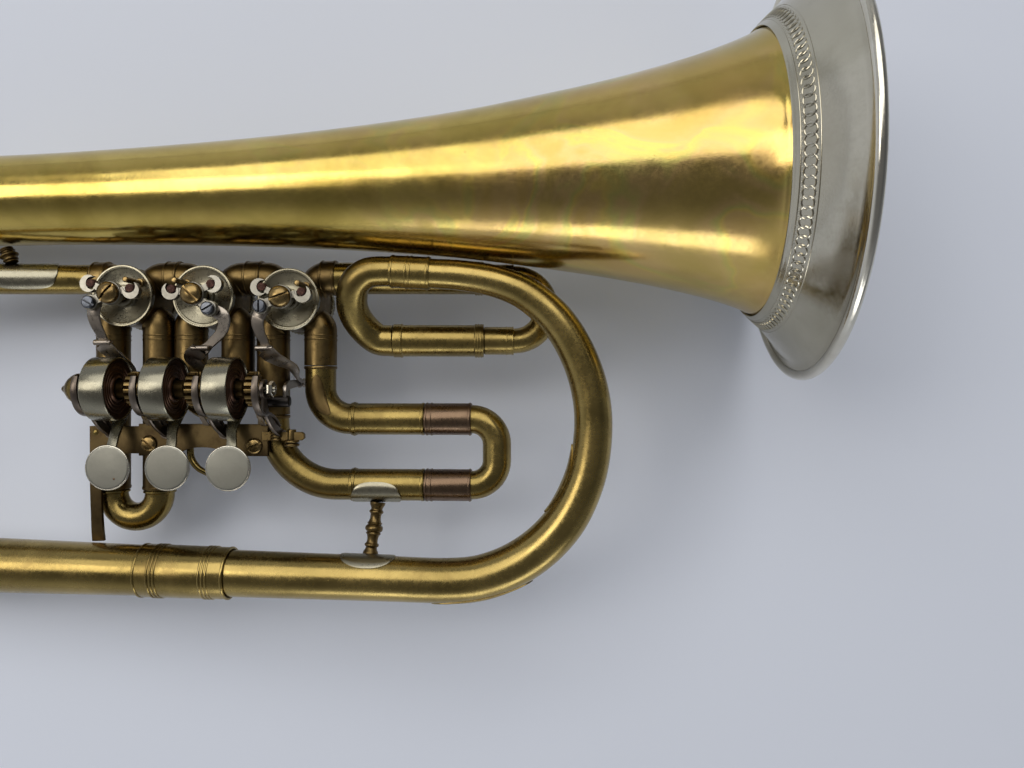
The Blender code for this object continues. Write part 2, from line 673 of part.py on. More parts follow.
def make_short_slides(metals, row):
    """Slides of the first and second valves, whose outer legs are the casings' own long pipes."""
    for number, inside in ((1, 30.0), (2, 12.0)):
        u = VALVES[number - 1][0]
        end = LOOP_LEG_V[number - 1] - GAP
        low, high = (u - PORT_OFFSET, end, 0), (u + PORT_OFFSET, end, 0)
        radii = (LEG_RADIUS, PIPE_RADIUS - 0.15, BOW_RADIUS)
        slide = slide_bow("slide", low, high, (0, -1, 0), (inside, 1.2, 0.2), radii)
        finish(slide, f"slide_{number}", metals["tube_brass"], row)


def make_third_slide(metals, row):
    """The third valve's slide, and the two bent outer legs that it moves in."""
    high_u = VALVES[2][0] + PORT_OFFSET
    low_u = VALVES[2][0] - PORT_OFFSET
    upper_v, lower_v = -45.6, -70.5
    mouth_u = 80.8
    for name, u, top_v, v, bend in (("upper", high_u, -25.6, upper_v, 11.6), ("lower", low_u, -44.2, lower_v, 24.5)):
        path = fillet(((u, top_v, 0), (u, v, 0), (53.0, v, 0)), (bend,), 4)
        radii = [5.75] * len(path)
        for along, radius in ((0.04, 6.2), (2.2, 6.2), (2.3, 5.9), (mouth_u - 53.0, 5.9)):
            path.append(Vector((53.0 + along, v, 0)))
            radii.append(radius)
        leg = bent_tube("leg", path, radii, 0.6)
        finish(leg, f"slide_3_leg_{name}", metals["tube_brass"], row)
    leg, ring, bow = 4.9, 6.0, 5.35
    mouth, collar_end, bow_u = mouth_u + GAP, 98.7, 108.15
    stations = [(57.0, leg), (mouth - 0.02, leg), (mouth + 0.02, ring), (collar_end, ring), (collar_end + 0.04, bow)]
    corners = ((collar_end, upper_v, 0), (bow_u, upper_v, 0), (bow_u, lower_v, 0), (collar_end, lower_v, 0))
    bend = fillet(corners, (9.4, 9.4), 3)[1:-1]
    path = [Vector((u, upper_v, 0)) for u, _ in stations] + bend
    path += [Vector((u, lower_v, 0)) for u, _ in reversed(stations)]
    sizes = [radius for _, radius in stations]
    slide = bent_tube("slide", path, [*sizes, *[bow] * len(bend), *reversed(sizes)], 0.5)
    finish(slide, "slide_3", metals["tube_brass"], row)


# ---------------------------------------------------------------- levers


def make_base(metals, instrument, row):
    """The rail on the valve pipes with the four posts that hold the axle, and the thumb bar at its right end."""
    arch = [(-1.2 + 9.0 * cos(a), -59.2 + 3.2 * sin(a)) for a in [pi * k / 6 for k in range(7)]]
    outline = [(-44.3, -48.2), (-44.3, -58.4), (-25.5, -58.4), (-25.5, -59.2), *arch[::-1], (23.5, -59.2)]
    outline += [(23.5, -47.3), (-25.5, -47.3), (-25.5, -48.2)]
    rail = plate("rail", outline, 6.5, 8.3)
    pieces = []
    for u in POSTS_U:
        path = [(u, -50.4, 7.2), (u, -50.9, 11.0), (u, -47.8, 16.2), (u, -41.5, 19.3), (u, AXLE_V, AXLE_Z)]
        pieces.append(ribbon("post", path, (0, 1, -1), 3.4, 1.2))
        pieces.append(rod("eye", (u - 0.6, AXLE_V, AXLE_Z), (u + 0.6, AXLE_V, AXLE_Z), 3.6, 10))
    bar = plate("bar", ((21.5, -50.2), (37.6, -50.2), (37.6, -53.2), (21.5, -53.2)), 7.6, 9.6)
    joined = union("rail", rail, bar, *pieces)
    hole = rod("hole", (POSTS_U[0] - 3, AXLE_V, AXLE_Z), (POSTS_U[-1] + 3, AXLE_V, AXLE_Z), AXLE_RADIUS + GAP, 10)
    finish(cut("rail", joined, hole), "base_rail", metals["tube_brass"], row)
    strap_path = [(-43.6, -60.2, 7.4), (-43.9, -76.0, 7.0), (-44.0, -90.5, 6.0)]
    strap = ribbon("strap", strap_path, (1, 0, 0), 4.8, 1.5)
    finish(strap, "rail_strap", metals["tube_brass"], instrument)
    hook_path = [(-7.4, -56.4, 5.0), (-6.8, -60.5, 5.0), (-4.2, -64.0, 5.2), (-0.4, -66.0, 5.6)]
    hook = bent_tube("hook", spline(hook_path, 2), (1.15, 1.1), None, 6)
    finish(hook, "finger_hook", metals["tube_brass"], row)


def make_axle(metals, row):
    left, right = -48.2, 30.2
    profile = [(0, 0.6), (2.4, 4.4), (3.4, 5.6), (4.2, 5.6), (4.4, AXLE_RADIUS), (8.0, AXLE_RADIUS)]
    profile += [(73.5, AXLE_RADIUS), (75.6, AXLE_RADIUS), (75.6, 2.6), (77.8, 2.6), (77.8, 0.9), (right - left, 0.9)]
    axle = turned("axle", (left, AXLE_V, AXLE_Z), (1, 0, 0), profile, 10, False)
    finish(axle, "lever_axle", metals["steel"], row)


def crank_end(number, radius=CRANK_REACH):
    return Vector((CRANK_U[number - 1], AXLE_V + radius * sin(CRANK_ANGLE), AXLE_Z - radius * cos(CRANK_ANGLE)))


def make_lever(number, metals, row):
    """Spring barrel, tongue and finger paddle, with the crank below that pushes the link."""
    left, right = DRUMS_U[number - 1]
    middle = (left + right) / 2
    width = right - left
    inside = DRUM_RADIUS - DRUM_WALL
    profile = [(0, DRUM_RADIUS), (width, DRUM_RADIUS), (width, inside), (0.9, inside)]
    profile += [(0.9, AXLE_RADIUS + GAP), (0, AXLE_RADIUS + GAP)]
    drum = turned("drum", (left, AXLE_V, AXLE_Z), (1, 0, 0), profile, ROUND_SIDES, True)
    reach_u = middle + PADDLE_SHIFT[number - 1]
    tongue_path = [(middle, -37.0, 8.15), (middle, -43.5, 10.5), (middle, -50.0, 13.9), (reach_u, -57.0, 17.6)]
    tongue = ribbon("tongue", tongue_path, (1, 0, 0), [8.4, 5.6, 3.6, 4.4], 1.1)
    post = rod("post", (reach_u, -58.2, 17.0), (reach_u, -58.2, PADDLE_Z - 0.7), 1.9, 8)
    tip = ribbon("tip", ((reach_u, -55.0, 16.6), (reach_u, -60.0, 18.8)), (1, 0, 0), 4.0, 1.2)
    disc_end = Vector((reach_u, PADDLE_V, PADDLE_Z))
    paddle = rod("paddle", disc_end - Vector((0, 0, 1.3)), disc_end, PADDLE_RADIUS, ROUND_SIDES)
    crank_u = CRANK_U[number - 1]
    top = Vector((crank_u, AXLE_V + 0.9, AXLE_Z - 10.7))
    crank = ribbon("crank", (top, crank_end(number)), (0, 1, 0), 3.0, 1.2)
    end = crank_end(number)
    eye = rod("eye", end - Vector((0.6, 0, 0)), end + Vector((0.6, 0, 0)), 1.8, 10)
    pieces = [tongue, tip, post, paddle, crank, eye]
    if abs(crank_u - middle) > width / 2:
        bar_end = (crank_u + 1.6, AXLE_V - 0.4, AXLE_Z - 9.9)
        pieces.append(rod("bar", (right - 2.0, AXLE_V - 0.4, AXLE_Z - 9.9), bar_end, 1.6, 8))
    lever = union("lever", drum, *pieces)
    finish(lever, f"lever_{number}", metals["nickel_silver"], row, (middle, AXLE_V, AXLE_Z))


def make_spring(number, metals, row):
    """The flat clock spring coiled in the barrel."""
    left, right = DRUMS_U[number - 1]
    middle = left + 4.6
    turns, per_turn = 2.5, 8
    path = []
    for step in range(int(turns * per_turn) + 1):
        angle = 2 * pi * step / per_turn
        radius = 4.4 + 4.6 * step / (turns * per_turn)
        path.append((middle, AXLE_V + radius * cos(angle), AXLE_Z + radius * sin(angle)))
    finish(ribbon("spring", path, (1, 0, 0), 5.4, 0.5), f"lever_spring_{number}", metals["steel"], row)


def make_ratchet(number, metals, row):
    low, high = RATCHETS_U[number - 1]
    rings = []
    for u in (low, high):
        ring = []
        for tooth in range(RATCHET_TEETH):
            for share, radius in ((0.0, RATCHET_RADIUS), (0.45, RATCHET_RADIUS), (0.6, RATCHET_RADIUS - 1.2)):
                angle = 2 * pi * (tooth + share) / RATCHET_TEETH
                ring.append((u, AXLE_V + radius * cos(angle), AXLE_Z + radius * sin(angle)))
        rings.append(ring)
    wheel = add_object("wheel", *loft(rings, False))
    hub = rod("hub", (DRUMS_U[number - 1][0] + 1.3, AXLE_V, AXLE_Z), (low + 0.5, AXLE_V, AXLE_Z), 3.2, 8)
    hole = rod("hole", (DRUMS_U[number - 1][0], AXLE_V, AXLE_Z), (high + 1, AXLE_V, AXLE_Z), AXLE_RADIUS + GAP, 10)
    ratchet = cut("ratchet", union("ratchet", wheel, hub), hole)
    finish(ratchet, f"ratchet_{number}", metals["tube_brass"], row)


def make_links(number, metals, row):
    """The upper link, from the stop arm to the knuckle, and the lower link, from the knuckle to the crank."""
    u, v = VALVES[number - 1]
    angle = radians(STOP_ARM[number]["link"])
    screw = Vector((u + ARM_REACH * cos(angle), v + ARM_REACH * sin(angle), 16.1))
    knuckle = Vector((*KNUCKLES[number - 1], KNUCKLE_Z))
    tab_z = KNUCKLE_Z - KNUCKLE_RADIUS - 0.4 - 0.5
    bulge = {1: (-2.6, 1.0), 2: (5.2, 1.2), 3: (-2.6, 1.0)}[number]
    half_way = (screw + knuckle) / 2
    bend = Vector((half_way.x + bulge[0], half_way.y + bulge[1], 15.4))
    tab = Vector((knuckle.x, knuckle.y - 1.2, tab_z))
    path = [screw, bend, Vector((knuckle.x, knuckle.y + 3.0, tab_z + 0.5)), tab]
    rings = []
    smooth = spline(path, 3)
    for point, axis in zip(smooth, tangents(smooth)):
        side = axis.cross(Vector((0, 0, 1))).normalized() * 1.6
        rings.append([point + side * s + Vector((0, 0, t)) for s, t in ((1, 0.5), (-1, 0.5), (-1, -0.5), (1, -0.5))])
    strip = add_object("strip", *loft(rings, False))
    eye = rod("eye", screw - Vector((0, 0, 0.5)), screw + Vector((0, 0, 0.5)), 2.4, 12)
    finish(union("upper", strip, eye), f"link_upper_{number}", metals["nickel_silver"], row, screw)
    pivot = crank_end(number) + Vector((1.7, 0, 0))
    side = {1: (2.2, 0.0), 2: (-3.6, -2.0), 3: (3.4, 0.6)}[number]
    path = [
        knuckle + Vector((0, -0.6, 0)),
        Vector((knuckle.x + side[0], knuckle.y - 3.6, 13.2)),
        Vector((pivot.x + side[1], knuckle.y * 0.45 + pivot.y * 0.55, 8.8)),
        Vector((pivot.x, pivot.y + 1.6, 0.0)),
        pivot,
    ]
    strip = ribbon("strip", spline(path, 2), (1, 0.0, 0.0), [6.0, 4.6, 3.4, 2.6, 1.0, 1.0, 1.0, 1.0, 1.0], 1.0)
    barrel = rod("barrel", knuckle - Vector((3.4, 0, 0)), knuckle + Vector((3.4, 0, 0)), KNUCKLE_RADIUS, 8)
    foot = rod("foot", pivot - Vector((0.5, 0, 0)), pivot + Vector((0.5, 0, 0)), 1.7, 10)
    joined = union("lower", strip, barrel, foot)
    finish(joined, f"link_lower_{number}", metals["nickel_silver"], row, pivot)


def main():
    clear_scene()
    metals = {
        "bell_brass": material("bell_brass", (0.52, 0.36, 0.10), 0.25, 1.0),
        "tube_brass": material("tube_brass", (0.30, 0.21, 0.08), 0.3, 1.0),
        "rotor_brass": material("rotor_brass", (0.45, 0.33, 0.14), 0.3, 1.0),
        "nickel_silver": material("nickel_silver", (0.50, 0.48, 0.42), 0.28, 1.0),
        "silver_plate": material("silver_plate", (0.75, 0.73, 0.68), 0.18, 1.0),
        "steel": material("steel", (0.12, 0.12, 0.13), 0.35, 1.0),
    }
    instrument = empty("instrument", REST_PLACE, (REST_ROLL, -REST_TILT, 0), None)
    row = empty("valve_row", (0, 0, 0), (0, 0, ROW_TURN), instrument)
    make_bell(metals, instrument)
    make_back_bow(metals, instrument)
    make_bottom(metals, instrument)
    make_front_bow(metals, instrument)
    make_loop(metals, instrument, row)
    make_tuning_slide(metals, row)
    make_lead_pipe(metals, instrument, row)
    make_braces(metals, instrument)
    make_connectors(metals, row)
    make_short_slides(metals, row)
    make_third_slide(metals, row)
    make_base(metals, instrument, row)
    make_axle(metals, row)
    for number in (1, 2, 3):
        make_casing(number, metals, row)
        make_plate(number, metals, row)
        make_rear_cap(number, metals, row)
        make_rotor(number, metals, row)
        make_stop_arm(number, metals, row)
        make_lever(number, metals, row)
        make_spring(number, metals, row)
        make_ratchet(number, metals, row)
        make_links(number, metals, row)


main()
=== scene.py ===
"""Finished surfaces of the rotary-valve trumpet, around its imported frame.

Lengths are in millimetres in the instrument's own axes, as in the part's source: +X towards the bell,
+Y from the lead pipe to the bell, +Z out of the valves' fronts, origin on the middle valve's axis. The
INSTRUMENT and ROW matrices carry them into the row frame, in metres.
"""

from math import acos, atan2, cos, pi, radians, sin, tan

import bmesh
import bpy
from mathutils import Euler, Matrix, Vector


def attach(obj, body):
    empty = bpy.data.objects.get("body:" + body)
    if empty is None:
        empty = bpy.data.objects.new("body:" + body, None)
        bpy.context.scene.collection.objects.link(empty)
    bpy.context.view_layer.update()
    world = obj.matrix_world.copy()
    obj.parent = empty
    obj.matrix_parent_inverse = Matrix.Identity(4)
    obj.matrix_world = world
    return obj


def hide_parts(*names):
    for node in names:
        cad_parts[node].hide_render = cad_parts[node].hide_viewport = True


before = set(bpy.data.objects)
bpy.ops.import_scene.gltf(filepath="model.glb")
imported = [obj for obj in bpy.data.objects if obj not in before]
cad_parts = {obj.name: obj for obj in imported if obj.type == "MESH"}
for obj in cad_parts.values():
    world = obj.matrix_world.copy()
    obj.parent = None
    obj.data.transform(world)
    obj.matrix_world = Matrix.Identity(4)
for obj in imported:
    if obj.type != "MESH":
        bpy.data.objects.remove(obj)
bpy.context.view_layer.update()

MM = 0.001
GAP = 0.3

# Rest pose, the same as in the part.
REST_TILT = radians(8.5439)
REST_ROLL = radians(1.6625)
REST_PLACE = Vector((14.302, 1.660, 30.483))
ROW_TURN = radians(-1.3)
REST_TURN = Euler((REST_ROLL, -REST_TILT, 0)).to_matrix().to_4x4()
INSTRUMENT = Matrix.Translation(REST_PLACE * MM) @ REST_TURN @ Matrix.Scale(MM, 4)
ROW = INSTRUMENT @ Matrix.Rotation(ROW_TURN, 4, "Z")

# Body of tube.
BELL_Y = 37.8
BODY_Z = 9.0
BELL_STATIONS = (
    (-103.0, 16.3),
    (-40.0, 17.2),
    (29.7, 20.25),
    (88.7, 25.4),
    (130.0, 31.5),
    (158.0, 36.7),
    (181.0, 42.3),
    (197.6, 47.9),
    (202.6, 51.6),
    (207.6, 56.2),
    (212.4, 61.8),
    (216.2, 67.3),
)
RIM_X = 219.9
RIM_RADIUS = 73.7
RIM_WIRE = 1.9
SHEET = 0.6
GARLAND_FROM_X = 201.0
GARLAND_LIP = (217.2, 68.8)
BAND_X = (202.8, 207.4)
BAND_RINGS = 112
BELL_FLATS = cos(pi / 24)  # the frame's bell has 24 sides, and the slide's bow passes close to their flats
BOTTOM_Y = -102.4
BOTTOM_SLOPE = -0.0458
SLEEVE_X = (-25.4, 7.8)
SLEEVE_RADIUS = 9.75
BACK_BOW_X = -103.0
LEADPIPE_CORNERS = ((-44.6, 8.9, 0.0), (-50.0, 8.9, 0.0), (-175.0, 7.8, 35.6))
FRONT_BOW_KNOTS = (
    (84.8, 5.8, 12.5, 5.3),
    (97.0, 4.6, 12.6, 5.5),
    (110.0, 1.8, 12.6, 5.8),
    (121.0, -3.6, 12.5, 6.1),
    (131.3, -13.6, 12.2, 6.4),
    (138.7, -27.6, 11.5, 6.6),
    (142.3, -42.4, 10.8, 6.8),
    (142.1, -57.1, 10.2, 7.0),
    (138.8, -71.3, 9.7, 7.3),
    (131.4, -85.4, 9.3, 7.7),
    (120.1, -96.5, 9.0, 7.9),
    (106.3, -103.6, 9.0, 8.0),
    (90.6, -106.3, 9.0, 8.05),
)

# Valve group.
VALVES = ((-30.5, 0.4), (0.0, 0.0), (31.9, -1.2))
CASING_RADIUS = 11.2
CASING_BORE = 9.3
CASING_HALF = 8.0
PLATE_TOP = 10.8
PLATE_RADIUS = 11.45
REAR_CAP_BOTTOM = -12.0
CAP_KNURLS = 60
SPINDLE_RADIUS = 2.2
PORT_OFFSET = 9.1
JOIN_REACH = 14.2
MAIN_V = 7.8
PIPE_RADIUS = 6.1
LEG_RADIUS = 5.2
BOW_RADIUS = 5.35
TUNING_FROM_U = 45.0
TUNING_LOW_V = -15.9
TUNING_DIP = radians(2.9)
LOOP_LEG_V = (-72.6, -30.3)
THIRD_PIPE_V = (-43.9, -25.3)
THIRD_LEGS_V = (-45.6, -70.5)
THIRD_MOUTH_U = 80.8
THIRD_RADIUS = 5.8
STOP_ARM = {
    1: {"near": 10, "far": 154, "link": 205, "pin": 37, "slot": -40},
    2: {"near": 170, "far": 26, "link": 318, "pin": 143, "slot": 45},
    3: {"near": 10, "far": 154, "link": 205, "pin": 37, "slot": -70},
}
ARM_REACH = 7.9
ARM_Z = (17.0, 20.0)

# Levers.
AXLE_V = -34.2
AXLE_Z = 19.0
AXLE_RADIUS = 1.4
DRUMS_U = ((-35.7, -26.7), (-14.5, -5.6), (7.6, 16.5))
DRUM_RADIUS = 11.5
RATCHETS_U = ((-22.3, -19.3), (-0.6, 2.4), (20.8, 23.8))
RATCHET_TEETH = 16
POSTS_U = (-38.2, -17.3, 4.9, 25.9)
PADDLE_V = -62.6
PADDLE_Z = 19.8
PADDLE_RADIUS = 8.15
PADDLE_SHIFT = (0.0, 0.8, 0.9)
CRANK_U = (-31.4, -0.8, 30.6)
CRANK_REACH = 26.5
CRANK_ANGLE = radians(5.0)
KNUCKLES = ((-35.5, -17.2), (0.8, -19.3), (24.5, -19.4))
KNUCKLE_Z = 15.0
KNUCKLE_RADIUS = 1.2
RAIL_Z = (6.5, 8.3)
ON_RAIL_Z = 8.2
LINK_SWEEPS = (  # three points of each upper link: from its screw in u and v, and the height
    ((-0.7, -4.3, 15.8), (0.0, -8.4, 14.9), (1.2, -11.7, 13.8)),
    ((4.0, -3.0, 15.9), (3.0, -7.9, 15.0), (-0.9, -11.6, 13.8)),
    ((-2.4, -4.6, 15.8), (-1.9, -9.3, 14.8), (-0.6, -12.4, 13.8)),
)
LINK_SIDES = ((2.2, 0.0), (-3.6, -2.0), (3.4, 0.6))  # sideways, near the knuckle and near the crank

# Camera, in the instrument's axes.
CAMERA_PLACE = (126.2, -34.9, 300.9)
CAMERA_LEAN = radians(2.5)
CAMERA_ROLL = radians(1.257)
CAMERA_LENS = 28.125
LIT_PLACE = (0.05, 0.0, 0.03)  # where the lamps face, in metres in the row frame


# ---------------------------------------------------------------- shapes, as lists of points and of faces


ALONG, ACROSS, UP = (1, 0, 0), (0, 1, 0), (0, 0, 1)


def full_turn(sides):
    """Evenly spaced angles, once round."""
    return [2 * pi * k / sides for k in range(sides)]


def heading(angle):
    """The level direction at an angle from +X."""
    return Vector((cos(angle), sin(angle), 0))


def frame_of(axis):
    """Two directions at right angles to the axis and to each other."""
    axis = Vector(axis).normalized()
    side = Vector(UP) if abs(axis.z) < 0.9 else Vector(ALONG)
    first = axis.cross(side).normalized()
    return first, axis.cross(first)


def loft(rings, looped=False):
    """Skin over rings of equally many points, closed at both ends or into a loop."""
    count = len(rings[0])
    points = [Vector(p) for ring in rings for p in ring]
    faces = []
    for i in range(len(rings) if looped else len(rings) - 1):
        j = (i + 1) % len(rings)
        for k in range(count):
            after = (k + 1) % count
            faces.append((i * count + k, i * count + after, j * count + after, j * count + k))
    if not looped:
        faces.append(tuple(reversed(range(count))))
        faces.append(tuple((len(rings) - 1) * count + k for k in range(count)))
    return points, faces


def circle(centre, first, second, radius, sides):
    turns = full_turn(sides)
    return [Vector(centre) + first * (radius * cos(a)) + second * (radius * sin(a)) for a in turns]


def lathe(start, axis, profile, sides=64, hollow=False):
    """A turned shape from (distance, radius) points. A hollow one joins its last point to its first."""
    first, second = frame_of(axis)
    axis = Vector(axis).normalized()
    rings = [circle(Vector(start) + axis * along, first, second, radius, sides) for along, radius in profile]
    return loft(rings, hollow)


def rod(start, end, radius, sides=24, edge=0.25):
    """A cylinder with rounded ends."""
    length = (Vector(end) - Vector(start)).length
    edge = min(edge, radius * 0.5, length * 0.4)
    profile = rounded([(0, 0.01), (0, radius), (length, radius), (length, 0.01)], edge)
    return lathe(start, Vector(end) - Vector(start), profile, sides)


def torus(centre, axis, ring, wire, sides=64, wire_sides=10):
    section = [(wire * cos(a), ring + wire * sin(a)) for a in full_turn(wire_sides)]
    return lathe(centre, axis, section, sides, True)


def rounded(profile, edge, steps=3):
    """The open profile with each inner corner rounded."""
    made = [profile[0]]
    for before, corner, after in zip(profile, profile[1:], profile[2:]):
        a, b, c = Vector(before), Vector(corner), Vector(after)
        reach = min(edge, (a - b).length * 0.45, (c - b).length * 0.45)
        if reach < 1e-4:
            made.append(corner)
            continue
        start, end = b + (a - b).normalized() * reach, b + (c - b).normalized() * reach
        for step in range(steps + 1):
            t = step / steps
            made.append(tuple(start * (1 - t) ** 2 + b * (2 * t * (1 - t)) + end * t**2))
    made.append(profile[-1])
    return made


def spline(knots, steps):
    """A Catmull-Rom curve through knots of any dimension."""
    knots = [Vector(k) for k in knots]
    ends = [2 * knots[0] - knots[1], *knots, 2 * knots[-1] - knots[-2]]
    path = []
    for a, b, c, d in zip(ends, ends[1:], ends[2:], ends[3:]):
        for step in range(steps):
            t = step / steps
            bend, twist = 2 * a - 5 * b + 4 * c - d, 3 * b - a - 3 * c + d
            path.append(0.5 * (2 * b + (c - a) * t + bend * t**2 + twist * t**3))
    return [*path, knots[-1]]


def fillet(corners, bends, steps=12):
    """A path through the corners, with a round bend of the given radius at each inner one."""
    corners = [Vector(c) for c in corners]
    path = [corners[0]]
    for before, corner, after, bend in zip(corners, corners[1:], corners[2:], bends):
        into = (corner - before).normalized()
        out = (after - corner).normalized()
        turn = acos(max(-1.0, min(1.0, into.dot(out))))
        reach = bend * tan(turn / 2)
        centre = corner + (out - into).normalized() * (bend / cos(turn / 2))
        start = corner - into * reach - centre
        for step in range(steps + 1):
            angle = turn * step / steps
            path.append(centre + start * cos(angle) + into * (bend * sin(angle)))
    path.append(corners[-1])
    return [p for p, q in zip(path, path[1:]) if (p - q).length > 0.01] + [path[-1]]


def half_turn(middle, reach, across, steps=24):
    """A half circle without its ends, from one side of the middle over its reach to the other."""
    angles = [-pi / 2 + pi * step / steps for step in range(1, steps)]
    return [Vector(middle) + Vector(reach) * cos(a) + Vector(across) * sin(a) for a in angles]


def tangents(path):
    found = [(path[1] - path[0]).normalized()]
    for before, after in zip(path, path[2:]):
        found.append((after - before).normalized())
    return [*found, (path[-1] - path[-2]).normalized()]


def distances(path):
    found = [0.0]
    for before, after in zip(path, path[1:]):
        found.append(found[-1] + (after - before).length)
    return found


def spread(path, radii):
    """A radius for each point: the given ones, or where they are fewer, spread evenly by length."""
    if len(radii) == len(path):
        return list(radii)
    lengths = distances(path)
    found = []
    for length in lengths:
        place = length / lengths[-1] * (len(radii) - 1)
        low = min(int(place), len(radii) - 2)
        found.append(radii[low] + (radii[low + 1] - radii[low]) * (place - low))
    return found


def tube(path, radii, wall=None, sides=40):
    """A tube along the path, hollow with open ends, or solid where wall is None."""
    path = [Vector(p) for p in path]
    along = tangents(path)
    first, _ = frame_of(along[0])
    outer, inner = [], []
    for point, axis, radius in zip(path, along, spread(path, radii)):
        first = (first - axis * first.dot(axis)).normalized()
        second = axis.cross(first)
        outer.append(circle(point, first, second, radius, sides))
        if wall:
            inner.append(circle(point, first, second, radius - wall, sides))
    return loft(outer + inner[::-1], True) if wall else loft(outer)


def strap(path, across, widths, thickness, crown=0.0):
    """A flat strip along the path, with rounded edges and an optional crowned face."""
    path = [Vector(p) for p in path]
    half = thickness / 2
    raised = 1 + crown * 0.75
    section = [(1, 0.35), (0.93, 1), (0.5, raised), (0, 1 + crown), (-0.5, raised), (-0.93, 1), (-1, 0.35)]
    section += [(-1, -0.35), (-0.93, -1), (0, -1), (0.93, -1), (1, -0.35)]
    rings = []
    for point, axis, wide in zip(path, tangents(path), spread(path, widths)):
        side = Vector(across) - axis * Vector(across).dot(axis)
        side = side.normalized()
        up = axis.cross(side).normalized()
        rings.append([point + side * (s * wide / 2) + up * (t * half) for s, t in section])
    return loft(rings)


def slab(outline, low, high, edge=0.2):
    """A flat plate between two heights from its outline, with eased edges."""
    middle = Vector((sum(x for x, _ in outline), sum(y for _, y in outline), 0)) / len(outline)
    rings = []
    for z, inset in ((low, edge), (low + edge, 0), (high - edge, 0), (high, edge)):
        ring = []
        for x, y in outline:
            away = Vector((x, y, 0)) - middle
            point = Vector((x, y, z)) - away.normalized() * inset
            ring.append(point)
        rings.append(ring)
    return loft(rings)


def wheel(centre, axis, outline, thickness):
    """A flat toothed or lobed plate across an axis, from (angle, radius) points."""
    first, second = frame_of(axis)
    axis = Vector(axis).normalized()
    rings = []
    for along, share in ((0, 0.95), (0.15, 1), (thickness - 0.15, 1), (thickness, 0.95)):
        start = Vector(centre) + axis * along
        rings.append([start + (first * cos(a) + second * sin(a)) * (r * share) for a, r in outline])
    return loft(rings)


def offset(profile, distance):
    """The profile moved towards the axis, at right angles to itself."""
    moved = []
    for i, (along, radius) in enumerate(profile):
        before = profile[max(i - 1, 0)]
        after = profile[min(i + 1, len(profile) - 1)]
        slope = atan2(after[1] - before[1], after[0] - before[0])
        moved.append((along + distance * sin(slope), radius - distance * cos(slope)))
    return moved


def at_length(path, radii, length):
    """Point, direction and radius at a distance along the path."""
    lengths = distances(path)
    along = tangents(path)
    radii = spread(path, radii)
    for i, (low, high) in enumerate(zip(lengths, lengths[1:])):
        if length <= high or i == len(lengths) - 2:
            t = (length - low) / (high - low)
            axis = along[i].lerp(along[i + 1], max(0.0, min(1.0, t))).normalized()
            return path[i].lerp(path[i + 1], t), axis, radii[i] + (radii[i + 1] - radii[i]) * t
    return path[-1], along[-1], radii[-1]


def leaf(path, radii, middle, facing, half_length, half_width, lift=0.45, roundness=2.0):
    """A thin leaf-shaped sheet on one side of the tube, its middle at a distance along the path."""
    path = [Vector(p) for p in path]
    rows, columns = 28, 12
    top, under = [], []
    for i in range(rows + 1):
        share = 2 * i / rows - 1
        point, axis, radius = at_length(path, radii, middle + half_length * share)
        up = Vector(facing) - axis * Vector(facing).dot(axis)
        up = up.normalized()
        side = axis.cross(up)
        reach = half_width * max(0.02, (1 - abs(share) ** roundness)) ** (1 / roundness) / radius
        for row, height in ((top, lift), (under, -0.2)):
            ring = []
            for j in range(columns + 1):
                across = 2 * j / columns - 1
                edge = 1.0 - 0.5 * (abs(across) > 0.99)
                angle = reach * across
                radial = up * cos(angle) + side * sin(angle)
                ring.append(point + radial * (radius + height * (edge if height > 0 else 1)))
            row.append(ring)
    return loft([a + b[::-1] for a, b in zip(top, under)])


def link(name, data):
    """A new object in the scene."""
    made = bpy.data.objects.new(name, data)
    bpy.context.scene.collection.objects.link(made)
    return made


def closed_mesh(name, points, faces):
    """A mesh whose faces all look outwards."""
    mesh = bpy.data.meshes.new(name)
    mesh.from_pydata([tuple(p) for p in points], [], faces)
    form = bmesh.new()
    form.from_mesh(mesh)
    bmesh.ops.recalc_face_normals(form, faces=form.faces)
    form.to_mesh(mesh)
    form.free()
    return mesh


def carve(shape, cutter):
    """The shape with the cutter taken out of it, by Boolean."""
    solid, knife = (link("carve", closed_mesh("carve", *form)) for form in (shape, cutter))
    step = solid.modifiers.new("cut", "BOOLEAN")
    step.operation = "DIFFERENCE"
    step.object = knife
    bpy.context.view_layer.update()
    made = solid.evaluated_get(bpy.context.evaluated_depsgraph_get()).to_mesh()
    points = [v.co.copy() for v in made.vertices]
    faces = [tuple(p.vertices) for p in made.polygons]
    bpy.data.objects.remove(solid, do_unlink=True)
    bpy.data.objects.remove(knife, do_unlink=True)
    return points, faces


def block(centre, along, across, up, sizes):
    """A box from its centre, three directions and three sizes."""
    a, b, c = (Vector(d).normalized() * (s / 2) for d, s in zip((along, across, up), sizes))
    low = [Vector(centre) - c + corner for corner in (-a - b, a - b, a + b, b - a)]
    return loft([low, [p + c * 2 for p in low]])


def slotted(foot, axis, profile, slot_angle, slot_width, slot_depth):
    """A turned screw head with a slot across its top."""
    first, second = frame_of(axis)
    axis = Vector(axis).normalized()
    top = max(along for along, _ in profile)
    widest = max(radius for _, radius in profile)
    way = first * cos(slot_angle) + second * sin(slot_angle)
    sizes = (widest * 3, slot_width, slot_depth * 2)
    cutter = block(Vector(foot) + axis * top, way, axis.cross(way), axis, sizes)
    return carve(lathe(foot, axis, profile, 40), cutter)


def dome(low, radius, height):
    """The profile of a low dome on a short edge."""
    edge = height * 0.28
    angles = [radians(k) for k in range(12, 90, 11)]
    rise = [(low + edge + (height - edge) * sin(a), radius * cos(a)) for a in angles]
    return [(low, 0.02), (low, radius * 0.99), (low + edge * 0.6, radius), *rise, (low + height, 0.02)]


